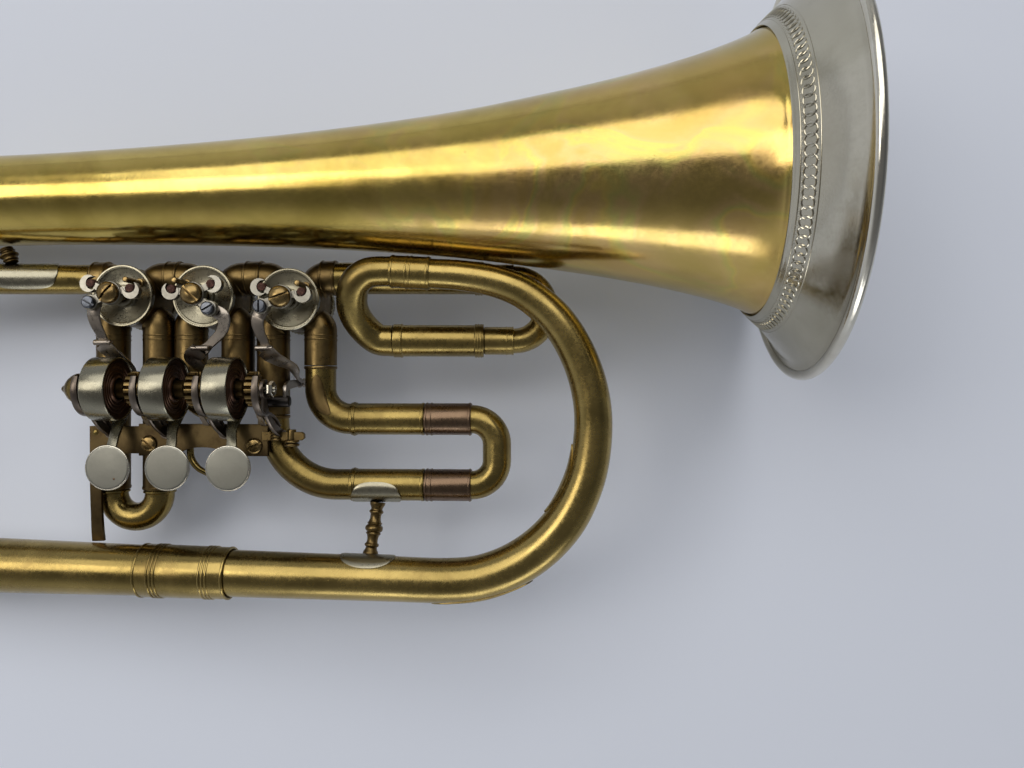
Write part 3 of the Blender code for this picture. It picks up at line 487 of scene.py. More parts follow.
SLOT_OF = {}  # the slot of each material, by its name


def piece(name, shapes, where, metal, replaces=(), body="root", slot=None, sharp=40):
    """One object from the shapes, taken into the row frame, riding on its body."""
    slot = slot or SLOT_OF[metal.name]
    points, faces = [], []
    for shape_points, shape_faces in shapes:
        start = len(points)
        points += [where @ Vector(p) for p in shape_points]
        faces += [tuple(start + k for k in face) for face in shape_faces]
    mesh = closed_mesh(name, points, faces)
    mesh.materials.append(metal)
    mesh.shade_smooth()
    mesh.set_sharp_from_angle(angle=radians(sharp))
    made = link(name, mesh)
    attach(made, body)
    if replaces:
        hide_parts(*replaces)


# ---------------------------------------------------------------- materials


# Grain of the surfaces, in cells per metre, and how dark and how wide the grime and painted shade in corners
# are.
CLOUDS, PATCHES, WAVES = 22.0, 85.0, 38.0
FINE_GRAIN, HAIRLINES = 700.0, 1400.0
SPECKS, SPECK_PATCHES, SPECK_SHADE = 260.0, 60.0, 0.25
GRIME_SHADE_REACH, GRIME_SHADE_TONE = 0.0045, 0.30
FILM_DRIFT, FILM_PATCHES = 26.0, 14.0
CORK_GRAINS, CORK_PATCHES = 1500.0, 900.0


def add(tree, kind, settings=None, **inputs):
    """A shader node; each input is a value, or the output of another node."""
    made = tree.nodes.new(kind)
    for key, value in (settings or {}).items():
        setattr(made, key, value)
    for key, value in inputs.items():
        socket = made.inputs[int(key[1:]) if key[1:].isdigit() else key]
        if isinstance(value, bpy.types.NodeSocket):
            tree.links.new(value, socket)
        else:
            socket.default_value = value
    return made


def mix(tree, share, first, second):
    """A colour between two others; each of the three may be the output of a node."""
    made = add(tree, "ShaderNodeMix", {"data_type": "RGBA"})
    for socket, value in zip((made.inputs[0], made.inputs[6], made.inputs[7]), (share, first, second)):
        if isinstance(value, bpy.types.NodeSocket):
            tree.links.new(value, socket)
        else:
            socket.default_value = value if isinstance(value, float) else (*value, 1.0)
    return made.outputs[2]


def between(tree, value, low, high, to_low=0.0, to_high=1.0):
    """A smooth step from to_low, where the value is low, to to_high, where it is high."""
    made = add(tree, "ShaderNodeMapRange", {"interpolation_type": "SMOOTHSTEP"}, Value=value)
    for index, number in zip((1, 2, 3, 4), (low, high, to_low, to_high)):
        made.inputs[index].default_value = number
    return made.outputs[0]


def times(tree, first, second):
    return add(tree, "ShaderNodeMath", {"operation": "MULTIPLY"}, i0=first, i1=second).outputs[0]


def plus(tree, first, second):
    return add(tree, "ShaderNodeMath", {"operation": "ADD"}, i0=first, i1=second).outputs[0]


def noise(tree, where, scale, detail=4.0, roughness=0.55, distortion=0.0):
    made = add(
        tree, "ShaderNodeTexNoise", None, Vector=where, Scale=scale, Detail=detail, Roughness=roughness,
    )
    made.inputs["Distortion"].default_value = distortion
    return made.outputs["Fac"]


def instrument_place(tree):
    """The point on the piece in the instrument's axes, in metres."""
    seen = add(tree, "ShaderNodeTexCoord").outputs["Object"]
    turned_back = add(tree, "ShaderNodeMapping", {"vector_type": "TEXTURE"}, Vector=seen)
    turned_back.inputs["Location"].default_value = REST_PLACE * MM
    turned_back.inputs["Rotation"].default_value = (REST_ROLL, -REST_TILT, 0)
    return turned_back.outputs[0]


def new_surface(name, slot, metallic):
    """A material with its tree, its shader, and the place where it is seen."""
    made = bpy.data.materials.new(name)
    made.use_nodes = True
    shader = made.node_tree.nodes["Principled BSDF"]
    shader.inputs["Metallic"].default_value = metallic
    SLOT_OF[made.name] = slot
    return made, made.node_tree, shader, instrument_place(made.node_tree)


def add_bump(tree, shader, height, strength, distance):
    bump = add(tree, "ShaderNodeBump", None, Height=height)
    bump.inputs["Strength"].default_value = strength
    bump.inputs["Distance"].default_value = distance
    tree.links.new(bump.outputs[0], shader.inputs["Normal"])


def aged_metal(name, slot, bright, dull, stain, rough, mottling=1.0, grime_and_shade=0.6, specks=1.0, iridescent=False):
    """Worn bare metal: cloudy patina in three tones, specks, hairline scratches, and grime with painted shade
    in its corners.
    """
    made, tree, shader, place = new_surface(name, slot, 1.0)
    cloud = noise(tree, place, CLOUDS, 5.0, 0.6, 0.6)
    patch = noise(tree, place, PATCHES, 6.0, 0.65, 0.3)
    fine = noise(tree, place, FINE_GRAIN, 4.0, 0.6)
    colour = mix(tree, between(tree, cloud, 0.35, 0.68), dull, bright)
    stained = times(tree, between(tree, patch, 0.5, 0.72), 0.75 * mottling)
    colour = mix(tree, stained, colour, stain)
    if iridescent:
        colour = rainbow_tarnish(tree, place, colour)
    cells = add(tree, "ShaderNodeTexVoronoi", {"feature": "F1"}, Vector=place, Scale=SPECKS)
    speck = between(tree, cells.outputs["Distance"], 0.10, 0.035, 0.0, specks)
    speck = times(tree, speck, between(tree, noise(tree, place, SPECK_PATCHES), 0.58, 0.64))
    colour = mix(tree, speck, colour, [c * SPECK_SHADE for c in stain])
    # Painted shade with grime: the colour darkens towards a dark stain tone where ambient occlusion finds
    # corners, hollows and joins between parts.
    if grime_and_shade:
        crevice = add(tree, "ShaderNodeAmbientOcclusion", {"samples": 6}, Distance=GRIME_SHADE_REACH).outputs["AO"]
        grime_shade_share = times(tree, between(tree, crevice, 0.85, 0.35), grime_and_shade)
        colour = mix(tree, grime_shade_share, colour, [c * GRIME_SHADE_TONE for c in stain])
    tree.links.new(colour, shader.inputs["Base Color"])
    hairs = noise(tree, place, HAIRLINES, 3.0, 0.7)
    worn = plus(tree, times(tree, patch, 0.6), times(tree, fine, 0.4))
    roughness = plus(tree, between(tree, worn, 0.35, 0.65, rough[0], rough[1]), times(tree, hairs, 0.05))
    tree.links.new(roughness, shader.inputs["Roughness"])
    waves = noise(tree, place, WAVES, 2.0)
    grain = plus(tree, times(tree, fine, 0.05), times(tree, waves, 1.6))
    height = plus(tree, times(tree, hairs, 0.06), grain)
    add_bump(tree, shader, height, 0.35, 0.0004)
    return made


def rainbow_tarnish(tree, place, colour):
    """Thin oxide films in drifting bands of gold, rose and green, stronger towards the flare."""
    drift = noise(tree, place, FILM_DRIFT, 3.0, 0.5, 1.4)
    film = add(tree, "ShaderNodeValToRGB", None, Fac=between(tree, drift, 0.3, 0.72))
    bands = film.color_ramp.elements
    bands[0].position, bands[0].color = 0.0, (0.56, 0.37, 0.11, 1)
    bands[1].position, bands[1].color = 1.0, (0.50, 0.36, 0.11, 1)
    rose, gold, green = (0.60, 0.40, 0.16, 1), (0.66, 0.48, 0.13, 1), (0.52, 0.46, 0.14, 1)
    for spot, tone in ((0.3, rose), (0.45, gold), (0.6, green), (0.8, (0.60, 0.41, 0.17, 1))):
        bands.new(spot).color = tone
    along = add(tree, "ShaderNodeSeparateXYZ", None, Vector=place).outputs[0]
    flare = between(tree, along, -0.02, 0.13, 0.10, 0.8)
    patches = between(tree, noise(tree, place, FILM_PATCHES), 0.40, 0.6)
    return mix(tree, times(tree, flare, patches), colour, film.outputs[0])


def cork_look():
    made, tree, shader, place = new_surface("cork_red_brown", "steel", 0.0)
    grains = add(tree, "ShaderNodeTexVoronoi", None, Vector=place, Scale=CORK_GRAINS).outputs["Distance"]
    colour = mix(tree, between(tree, grains, 0.1, 0.6), (0.105, 0.036, 0.02), (0.055, 0.02, 0.013))
    worn = between(tree, noise(tree, place, CORK_PATCHES), 0.55, 0.7)
    tree.links.new(mix(tree, worn, colour, (0.15, 0.06, 0.035)), shader.inputs["Base Color"])
    tree.links.new(between(tree, grains, 0.0, 0.7, 0.65, 0.9), shader.inputs["Roughness"])
    add_bump(tree, shader, grains, 0.8, 0.0003)
    return made


BELL_BRASS = aged_metal(
    "bell_brass_aged", "bell_brass", (0.60, 0.455, 0.125), (0.43, 0.32, 0.075), (0.36, 0.25, 0.07),
    (0.11, 0.20), mottling=0.4, grime_and_shade=0.0, specks=0.5, iridescent=True,
)
TUBE_BRASS = aged_metal(
    "tube_brass_aged", "tube_brass", (0.32, 0.235, 0.078), (0.19, 0.138, 0.045), (0.125, 0.078, 0.03),
    (0.18, 0.33), mottling=0.5, grime_and_shade=0.35, specks=0.4,
)
BOW_BRASS = aged_metal(
    "bow_brass_aged", "tube_brass", (0.38, 0.28, 0.096), (0.25, 0.183, 0.06), (0.17, 0.11, 0.04),
    (0.16, 0.29), mottling=0.45, grime_and_shade=0.25, specks=0.4,
)
DARK_BRASS = aged_metal(
    "dark_brass_aged", "tube_brass", (0.22, 0.152, 0.06), (0.13, 0.088, 0.035), (0.08, 0.046, 0.02),
    (0.24, 0.42),
)
RAIL_BRASS = aged_metal(
    "rail_brass_aged", "tube_brass", (0.14, 0.10, 0.045), (0.085, 0.058, 0.026), (0.05, 0.03, 0.015),
    (0.26, 0.44),
)
RED_BRASS = aged_metal(
    "red_brass_aged", "tube_brass", (0.19, 0.128, 0.08), (0.135, 0.088, 0.058), (0.09, 0.052, 0.036),
    (0.22, 0.34), mottling=0.6,
)
SCREW_BRASS = aged_metal(
    "screw_brass_aged", "tube_brass", (0.34, 0.24, 0.10), (0.23, 0.155, 0.062), (0.13, 0.08, 0.032),
    (0.18, 0.32),
)
NICKEL = aged_metal(
    "nickel_satin", "nickel_silver", (0.36, 0.335, 0.25), (0.275, 0.25, 0.178), (0.19, 0.16, 0.11),
    (0.20, 0.34), mottling=0.3, grime_and_shade=0.15, specks=0.1,
)
GARLAND_NICKEL = aged_metal(
    "garland_nickel", "nickel_silver", (0.55, 0.515, 0.415), (0.45, 0.42, 0.325), (0.36, 0.33, 0.25),
    (0.11, 0.22), mottling=0.25, grime_and_shade=0.2, specks=0.1,
)
BRIGHT_NICKEL = aged_metal(
    "nickel_bright", "nickel_silver", (0.68, 0.65, 0.56), (0.55, 0.52, 0.43), (0.34, 0.29, 0.22),
    (0.10, 0.20), mottling=0.3, grime_and_shade=0.4, specks=0.3,
)
PADDLE_NICKEL = aged_metal(
    "paddle_nickel", "nickel_silver", (0.28, 0.275, 0.235), (0.245, 0.24, 0.205), (0.19, 0.175, 0.14),
    (0.34, 0.48), mottling=0.3, grime_and_shade=0.0, specks=0.3,
)
ARM_NICKEL = aged_metal(
    "arm_nickel", "nickel_silver", (0.34, 0.325, 0.275), (0.27, 0.255, 0.215), (0.19, 0.16, 0.125),
    (0.26, 0.40), mottling=0.4, grime_and_shade=0.7, specks=0.5,
)
LINK_NICKEL = aged_metal(
    "link_nickel", "nickel_silver", (0.40, 0.355, 0.30), (0.31, 0.27, 0.225), (0.21, 0.165, 0.135),
    (0.22, 0.36), mottling=0.4, grime_and_shade=0.3, specks=0.3,
)
POST_NICKEL = aged_metal(
    "post_nickel", "nickel_silver", (0.17, 0.145, 0.12), (0.13, 0.105, 0.085), (0.09, 0.065, 0.05),
    (0.24, 0.38), mottling=0.5, grime_and_shade=0.5, specks=0.3,
)
DRUM_NICKEL = aged_metal(
    "drum_nickel", "nickel_silver", (0.29, 0.275, 0.21), (0.235, 0.22, 0.165), (0.19, 0.17, 0.12),
    (0.18, 0.28), mottling=0.25, grime_and_shade=0.0, specks=0.1,
)
BLUED_STEEL = aged_metal(
    "blued_steel", "steel", (0.17, 0.18, 0.20), (0.10, 0.11, 0.13), (0.05, 0.045, 0.045), (0.22, 0.40),
)
BLACK_STEEL = aged_metal(
    "black_steel", "steel", (0.05, 0.045, 0.042), (0.03, 0.027, 0.025), (0.02, 0.016, 0.013), (0.26, 0.44),
)
DRUM_BROWN = aged_metal(
    "drum_inside", "steel", (0.15, 0.085, 0.055), (0.10, 0.056, 0.038), (0.05, 0.028, 0.018), (0.28, 0.46),
    grime_and_shade=0.3,
)
SILVER = aged_metal(
    "silver_plate", "silver_plate", (0.80, 0.78, 0.73), (0.70, 0.68, 0.62), (0.45, 0.40, 0.33), (0.10, 0.20),
    mottling=0.3,
)
CORK = cork_look()


# ---------------------------------------------------------------- body of tube


def bottom_point(x):
    return Vector((x, BOTTOM_Y + BOTTOM_SLOPE * x, BODY_Z))


BELL_PROFILE = [tuple(p) for p in spline(BELL_STATIONS, 8)]


def bell_radius(x):
    for (x0, r0), (x1, r1) in zip(BELL_PROFILE, BELL_PROFILE[1:]):
        if x0 <= x <= x1:
            return r0 + (r1 - r0) * (x - x0) / (x1 - x0)
    return BELL_PROFILE[-1][1]


def make_bell():
    """The brass sheet, which runs on under the garland, then the garland, its band and the rim."""
    start, axis, sides = Vector((0, BELL_Y, BODY_Z)), ALONG, 160
    seam = GARLAND_FROM_X - 0.6
    under = [(x, r * BELL_FLATS) for x, r in BELL_PROFILE if x <= seam]
    flare = [p for p in BELL_PROFILE if p[0] > seam]
    lap = SHEET + GAP * 0.5
    outside = under + offset(flare, lap)
    inside = offset(under + flare, SHEET)[: len(under)] + offset(flare, SHEET + lap)
    sheet = lathe(start, axis, outside + inside[::-1], sides, True)
    piece("bell_sheet", [sheet], INSTRUMENT, BELL_BRASS, ["bell"])
    edge = bell_radius(GARLAND_FROM_X)
    wire_x, wire_r = RIM_X - RIM_WIRE, RIM_RADIUS - RIM_WIRE
    outline = [(GARLAND_FROM_X, edge + 0.10), (GARLAND_FROM_X + 0.15, edge + 0.45)]
    outline += [(x, r + 0.05) for x, r in flare if x > GARLAND_FROM_X + 0.5]
    outline.append((GARLAND_LIP[0] - 0.1, GARLAND_LIP[1] + 0.2))
    outline += [(wire_x - 0.9, wire_r - 1.2), (wire_x - 0.4, wire_r - 0.3)]
    garland = lathe(start, axis, outline + offset(outline, SHEET)[::-1], sides, True)
    piece("garland_sheet", [garland], INSTRUMENT, GARLAND_NICKEL, ["bell_garland"], sharp=60)
    make_engraved_band(start, sides)
    bead = torus(start + Vector((wire_x, 0, 0)), axis, wire_r, RIM_WIRE, sides, 20)
    piece("rim_bead", [bead], INSTRUMENT, BRIGHT_NICKEL, ["rim_wire"], sharp=60)


def make_engraved_band(start, sides):
    """A chain of interlaced rings between two milled border lines, raised on the garland."""
    x_low, x_high = BAND_X
    middle = (x_low + x_high) / 2
    slope = atan2(bell_radius(x_high) - bell_radius(x_low), x_high - x_low)
    shapes = []
    for turn in full_turn(BAND_RINGS):
        out = Vector((0, cos(turn), sin(turn)))
        normal = Vector((-sin(slope), 0, 0)) + out * cos(slope)
        centre = start + Vector((middle, 0, 0)) + out * (bell_radius(middle) + 0.1)
        shapes.append(torus(centre, normal, 2.0, 0.27, 20, 6))
    for x, inward in ((x_low, 0.5), (x_high, -0.5)):
        shapes.append(torus(start + Vector((x, 0, 0)), ALONG, bell_radius(x) + 0.1, 0.17, sides, 8))
        for turn in full_turn(2 * BAND_RINGS):
            out = Vector((0, cos(turn), sin(turn)))
            foot = start + Vector((x + inward, 0, 0)) + out * (bell_radius(x + inward) - 0.15)
            shapes.append(lathe(foot, out, [(0, 0.24), (0.16, 0.2), (0.24, 0.08)], 6))
    piece("garland_band", shapes, INSTRUMENT, GARLAND_NICKEL)


def seam_ring(point, axis, radius, width=0.5, height=0.18):
    """A fine raised line round a tube."""
    axis = Vector(axis).normalized()
    profile = [(-width / 2, radius - 0.1), (-width / 2, radius + height * 0.6), (-width / 4, radius + height)]
    profile += [(width / 4, radius + height), (width / 2, radius + height * 0.6), (width / 2, radius - 0.1)]
    return lathe(point, axis, profile, 56, True)


def ferrule(start, end, radius, bore, lines=(0.16, 0.84), sides=56):
    """A joining sleeve with rounded edges and turned lines near its ends."""
    length = (Vector(end) - Vector(start)).length
    outside = rounded([(0, bore), (0, radius), (length, radius), (length, bore)], 0.35)
    shapes = [lathe(start, Vector(end) - Vector(start), outside, sides, True)]
    for share in lines:
        point = Vector(start).lerp(Vector(end), share)
        shapes.append(seam_ring(point, Vector(end) - Vector(start), radius, 0.7, 0.22))
    return shapes


def back_bow_path():
    """From the bell's end round to the bottom tube."""
    bell_end = Vector((BACK_BOW_X - GAP, BELL_Y, BODY_Z))
    low_end = bottom_point(BACK_BOW_X - GAP)
    reach = Vector((-1, 0, 0)) * ((bell_end.y - low_end.y) / 2)
    low_side = bottom_point(BACK_BOW_X - GAP - 1)
    bell_side = bell_end - Vector(ALONG)
    across = (low_side - bell_side) / 2
    return [bell_end, bell_side, *half_turn((low_side + bell_side) / 2, reach, across, 64), low_side, low_end]


BACK_BOW_RADII = (16.2, 15.0, 13.3, 11.7, 10.4)


def make_back_bow():
    path = back_bow_path()
    piece("back_bow_tube", [tube(path, BACK_BOW_RADII, SHEET, 64)], INSTRUMENT, BOW_BRASS, ["back_bow"])
    start, end = (BACK_BOW_X - 3, BELL_Y, BODY_Z), (BACK_BOW_X + 6, BELL_Y, BODY_Z)
    piece("bell_ring", ferrule(start, end, 17.6, 16.6, (0.2, 0.8), 72), INSTRUMENT, NICKEL, ["bell_ferrule"])
    guard = leaf(path, BACK_BOW_RADII, distances(path)[-1] * 0.5, (-1, 0, 0), 34, 5.5, 0.5, 2.4)
    piece("back_bow_guard", [guard], INSTRUMENT, BOW_BRASS)
    low = path[-1] + Vector((-1.5, 0, 0))
    ring = ferrule(bottom_point(low.x - 2), bottom_point(low.x + 8), 11.0, 10.2)
    piece("bottom_ring", ring, INSTRUMENT, TUBE_BRASS)


def make_bottom():
    long_end, seam = bottom_point(BACK_BOW_X), bottom_point((SLEEVE_X[0] + SLEEVE_X[1]) / 2)
    sheet = tube([long_end, seam], (10.3, 9.05), SHEET, 64)
    piece("bottom_tube_sheet", [sheet], INSTRUMENT, BOW_BRASS, ["bottom_tube"])
    low, high = bottom_point(SLEEVE_X[0]), bottom_point(SLEEVE_X[1])
    axis = (high - low).normalized()
    length = (high - low).length
    outside = [(0, 9.6), (0, SLEEVE_RADIUS), (length, SLEEVE_RADIUS - 0.3), (length, 8.95)]
    shapes = [lathe(low, axis, rounded(outside, 0.3), 72, True)]
    for along in (5.6, 6.9, 8.2, length - 8.6, length - 7.3, length - 6.0):
        shapes.append(seam_ring(low + axis * along, axis, SLEEVE_RADIUS - 0.3 * along / length, 0.75, 0.3))
    shapes.append(seam_ring(low + axis * 0.5, axis, SLEEVE_RADIUS, 0.8, 0.25))
    shapes.append(seam_ring(high - axis * 0.5, axis, SLEEVE_RADIUS - 0.3, 0.8, 0.25))
    piece("bow_sleeve_turned", shapes, INSTRUMENT, BOW_BRASS, ["bow_sleeve"])


def make_front_bow():
    seam = bottom_point((SLEEVE_X[0] + SLEEVE_X[1]) / 2 + GAP)
    flat = bottom_point(60)
    knots = [*FRONT_BOW_KNOTS, (*flat, 8.2), (*seam, 8.65)]
    fine = spline(knots, 8)
    path = [Vector(p[:3]) for p in fine]
    radii = [p[3] for p in fine]
    piece("front_bow_tube", [tube(path, radii, SHEET, 64)], INSTRUMENT, BOW_BRASS, ["front_bow"])
    lengths = distances(path)
    inner_middle = lengths[8 * 8 + 1]
    inner = leaf(path, radii, inner_middle, (-1, 0.45, 0), 15.5, 4.2, 0.5, 1.7)
    piece("front_bow_inner_guard", [inner], INSTRUMENT, BOW_BRASS, ["bow_guard"])
    outer_middle = lengths[11 * 8 + 4]
    outer = leaf(path, radii, outer_middle, (0.1, -1, 0), 17, 4.4, 0.45, 1.7)
    piece("front_bow_outer_guard", [outer], INSTRUMENT, BOW_BRASS)


def tuning_point(u, v):
    """A point on the tuning slide, which dips as it runs out."""
    return Vector((u, v, -(u - TUNING_FROM_U) * tan(TUNING_DIP)))


def make_loop():
    turn = Matrix.Rotation(ROW_TURN, 4, "Z")
    knots = [
        (*(turn @ tuning_point(68.6, TUNING_LOW_V)), 5.9),
        (*(turn @ tuning_point(67.4, TUNING_LOW_V)), 5.9),
        (*(turn @ Vector((62.6, -15.3, -0.6))), 5.85),
        (58.0, -12.9, 1.6, 5.8),
        (55.4, -8.2, 5.0, 5.75),
        (54.9, -3.0, 8.4, 5.7),
        (57.0, 3.0, 11.8, 5.6),
        (61.8, 6.5, 12.6, 5.5),
        (68.5, 7.0, 12.6, 5.4),
        (77.0, 6.4, 12.5, 5.3),
    ]
    fine = spline(knots, 8)
    path = [Vector(p[:3]) for p in fine]
    bow = tube(path, [p[3] for p in fine], SHEET, 56)
    piece("loop_bow_tube", [bow], INSTRUMENT, TUBE_BRASS, ["loop_bow"])
    start, end = Vector((70.4, 6.9, 12.6)), Vector((84.9, 5.8, 12.5))
    shapes = ferrule(start, end, 5.85, 5.0, (0.06, 0.42, 0.52, 0.94))
    piece("loop_ring", shapes, INSTRUMENT, TUBE_BRASS, ["loop_ferrule"])


def slide_bow(low, high, out, lengths, radii, steps=28):
    """A U-shaped slide: two inner legs, a collar on each, and the round bow."""
    low, high, out = Vector(low), Vector(high), Vector(out)
    inside, collar, step = lengths
    leg, ring, bow = radii
    stations = [(-inside, leg), (-0.02, leg), (0.0, ring - 0.3), (0.25, ring)]
    stations += [(collar - 0.3, ring), (collar, bow + 0.1), (collar + step, bow)]
    across = (high - low) / 2
    middle = (low + high) / 2 + out * (collar + step)
    path = [low + out * along for along, _ in stations]
    path += half_turn(middle, out * across.length, across, steps)
    path += [high + out * along for along, _ in reversed(stations)]
    sizes = [radius for _, radius in stations]
    return tube(path, [*sizes, *[bow] * (steps - 1), *reversed(sizes)], 0.5, 56)


def make_tuning_slide():
    end_u = 102.9
    out = Vector((cos(TUNING_DIP), 0, -sin(TUNING_DIP)))
    for name, v, start_u, cap in (("lower", TUNING_LOW_V, 68.9, 3.4), ("upper", MAIN_V, TUNING_FROM_U, 2.0)):
        start = tuning_point(start_u, v)
        end = tuning_point(end_u, v)
        length = (end - start).length
        inner = LEG_RADIUS + 0.12
        outside = [(0, inner), (0, 6.3), (cap, 6.3), (cap + 0.15, 6.0)]
        outside += [(length - 3.4, 6.0), (length - 3.3, 6.3), (length, 6.3), (length, inner)]
        shapes = [lathe(start, out, rounded(outside, 0.2), 56, True)]
        for along in (length - 2.9, length - 1.9, length - 0.9, cap - 0.5):
            shapes.append(seam_ring(start + out * along, out, 6.25, 0.55, 0.2))
        piece(f"tuning_leg_{name}_tube", shapes, ROW, TUBE_BRASS, [f"tuning_leg_{name}"])
    low, high = tuning_point(end_u + GAP, TUNING_LOW_V), tuning_point(end_u + GAP, MAIN_V)
    shapes = [slide_bow(low, high, out, (30.0, 11.0, 0.6), (LEG_RADIUS, 5.3, 4.75))]
    for side in (low, high):
        for along in (8.4, 10.8):
            shapes.append(seam_ring(side + out * along, out, 5.27, 0.5, 0.16))
    piece("tuning_slide_bow", shapes, ROW, TUBE_BRASS, ["tuning_slide"], body="tuning_slide")


def make_lead_pipe():
    path = fillet(LEADPIPE_CORNERS, (30.0,), 10)
    pipe_radii = (5.7, 5.5, 5.2, 4.9)
    piece("leadpipe_tube", [tube(path, pipe_radii, SHEET, 56)], INSTRUMENT, TUBE_BRASS, ["leadpipe"])
    saddle = leaf(path, pipe_radii, 25.5, (0, 0.55, 0.85), 11.5, 7.8, 0.5, 3.2)
    piece("leadpipe_saddle", [saddle], INSTRUMENT, NICKEL)
    axis = (path[-1] - path[-2]).normalized()
    mouth = path[-1] - axis * 8
    outside = [
        (0, 5.4), (0, 6.2), (2, 6.2), (3, 5.9), (24, 5.9), (25, 7.0), (28, 7.0), (29, 6.4), (29, 4.6),
        (9, 4.3), (8.8, 5.35),
    ]
    shapes = [lathe(mouth, axis, rounded(outside, 0.3), 64, True)]
    for along in (4.0, 22.6):
        shapes.append(seam_ring(mouth + axis * along, axis, 5.9, 0.8, 0.3))
    piece("receiver_turned", shapes, INSTRUMENT, NICKEL, ["receiver"])
    shank = path[-1] + axis * 2.0
    outer = [
        (0, 3.3), (0, 3.9), (19, 4.2), (27, 4.35), (27.6, 4.8), (28.8, 4.8), (29.4, 4.4), (38, 5.0),
        (46, 6.2), (50, 7.6), (54, 9.6), (58, 12.0), (61, 13.1), (66, 13.4), (70, 13.4), (73.2, 13.3),
        (74, 12.6),
    ]
    bore = [
        (74, 9.6), (73.2, 8.8), (71, 8.3), (66, 7.6), (61, 5.6), (57.5, 2.6), (56, 1.9), (48, 2.2), (20, 2.8),
        (0, 3.1),
    ]
    shape = lathe(shank, axis, rounded(outer, 0.9) + rounded(bore, 0.7), 72, True)
    piece("mouthpiece_turned", [shape], INSTRUMENT, SILVER, ["mouthpiece"], body="mouthpiece")


def baluster(start, end, foot):
    """A turned brace: flared feet, slender waists, beads and a fat ring in the middle."""
    length = (Vector(end) - Vector(start)).length
    knots = [(0, foot), (0.05, foot * 0.96), (0.10, foot * 0.78)]
    knots += [(0.14, 2.1), (0.17, 2.6), (0.20, 2.6), (0.23, 2.1)]
    knots += [(0.30, 2.0), (0.37, 2.3), (0.40, 2.8), (0.43, 2.5), (0.46, 3.1), (0.5, 3.3)]
    knots += [(1 - share, radius) for share, radius in knots[-2::-1]]
    turned = [tuple(point) for point in spline([(share * length, radius) for share, radius in knots], 3)]
    profile = [(0, 0.02), *turned, (length, 0.02)]
    return lathe(start, Vector(end) - Vector(start), profile, 32)


def make_braces():
    long_brace = baluster((61.4, -78.4, 1.2), (58.6, -97.7, 3.4), 2.9)
    piece("bow_brace_turned", [long_brace], INSTRUMENT, DARK_BRASS, ["bow_brace"])
    short_brace = baluster((-73.0, 14.7, 9.6), (-75.2, 19.9, 9.3), 2.3)
    piece("leadpipe_brace_turned", [short_brace], INSTRUMENT, DARK_BRASS, ["leadpipe_brace"])
    bottom = [bottom_point(x) for x in (20, 60, 100)]
    middle = distances(bottom)[-1] * 0.485
    saddle = leaf(bottom, (8.55, 8.2, 8.05), middle, (0, 1, 0.12), 10.0, 6.6, 0.5, 2.3)
    piece("bottom_saddle", [saddle], INSTRUMENT, NICKEL)


# ---------------------------------------------------------------- valves


def make_casing(number):
    """The casing, with the four pipes that run into it and their turned lines."""
    u, v = VALVES[number - 1]
    half = CASING_HALF
    wall = [(-half, CASING_BORE), (-half, CASING_RADIUS), (half, CASING_RADIUS), (half, CASING_BORE)]
    shapes = [lathe((u, v, 0), UP, rounded(wall, 0.4), 72, True)]
    lines = []
    pipe = (PIPE_RADIUS, PIPE_RADIUS)
    thickness = PIPE_RADIUS - LEG_RADIUS - 0.12
    for side in (-1, 1):
        leg_u = u + side * PORT_OFFSET
        stop = LOOP_LEG_V[number - 1] if number < 3 else THIRD_PIPE_V[side > 0]
        path = fillet(((u + side * 6.6, v - 7.8, 0), (leg_u, v - 9.5, 0), (leg_u, stop, 0)), (2.4,), 8)
        shapes.append(tube(path, pipe, thickness, 56))
        for along in (-14.0, -15.6):
            lines.append(seam_ring((leg_u, along, 0), ACROSS, PIPE_RADIUS, 0.5, 0.16))
        if number < 3:
            lines.append(seam_ring((leg_u, stop + 0.6, 0), ACROSS, PIPE_RADIUS, 1.0, 0.2))
        if number == 1:
            ends = ((leg_u, -50.0, 0), (leg_u, -57.5, 0))
            lines += ferrule(*ends, PIPE_RADIUS + 0.3, PIPE_RADIUS - 0.1, (0.2, 0.8))
        reach = {(-1, 1): -44.3, (1, 3): 44.7}.get((side, number), u + side * JOIN_REACH)
        top = ((u + side * 6.2, v + 4.6, 0), (u + side * 9.4, MAIN_V, 0), (reach, MAIN_V, 0))
        shapes.append(tube(fillet(top, (4.0,), 8), pipe, thickness, 56))
    piece(f"casing_{number}_body", shapes, ROW, DARK_BRASS, [f"valve_casing_{number}"])
    piece(f"casing_{number}_lines", lines, ROW, DARK_BRASS)


def make_connectors():
    for first, second, name in ((0, 1, "connector_12"), (1, 2, "connector_23")):
        start = (VALVES[first][0] + JOIN_REACH - 1.5, MAIN_V, 0)
        end = (VALVES[second][0] - JOIN_REACH + 1.5, MAIN_V, 0)
        shapes = ferrule(start, end, PIPE_RADIUS + 0.45, PIPE_RADIUS - 0.1, (0.1, 0.9))
        piece(f"{name}_sleeve", shapes, ROW, DARK_BRASS, [name])
    shapes = []
    for low, high, bore in ((-46.6, -40.5, 5.7), (41.5, 47.5, PIPE_RADIUS - 0.1)):
        shapes += ferrule((low, MAIN_V, 0), (high, MAIN_V, 0), PIPE_RADIUS + 0.45, bore, (0.12, 0.88))
    piece("main_line_sleeves", shapes, ROW, DARK_BRASS)


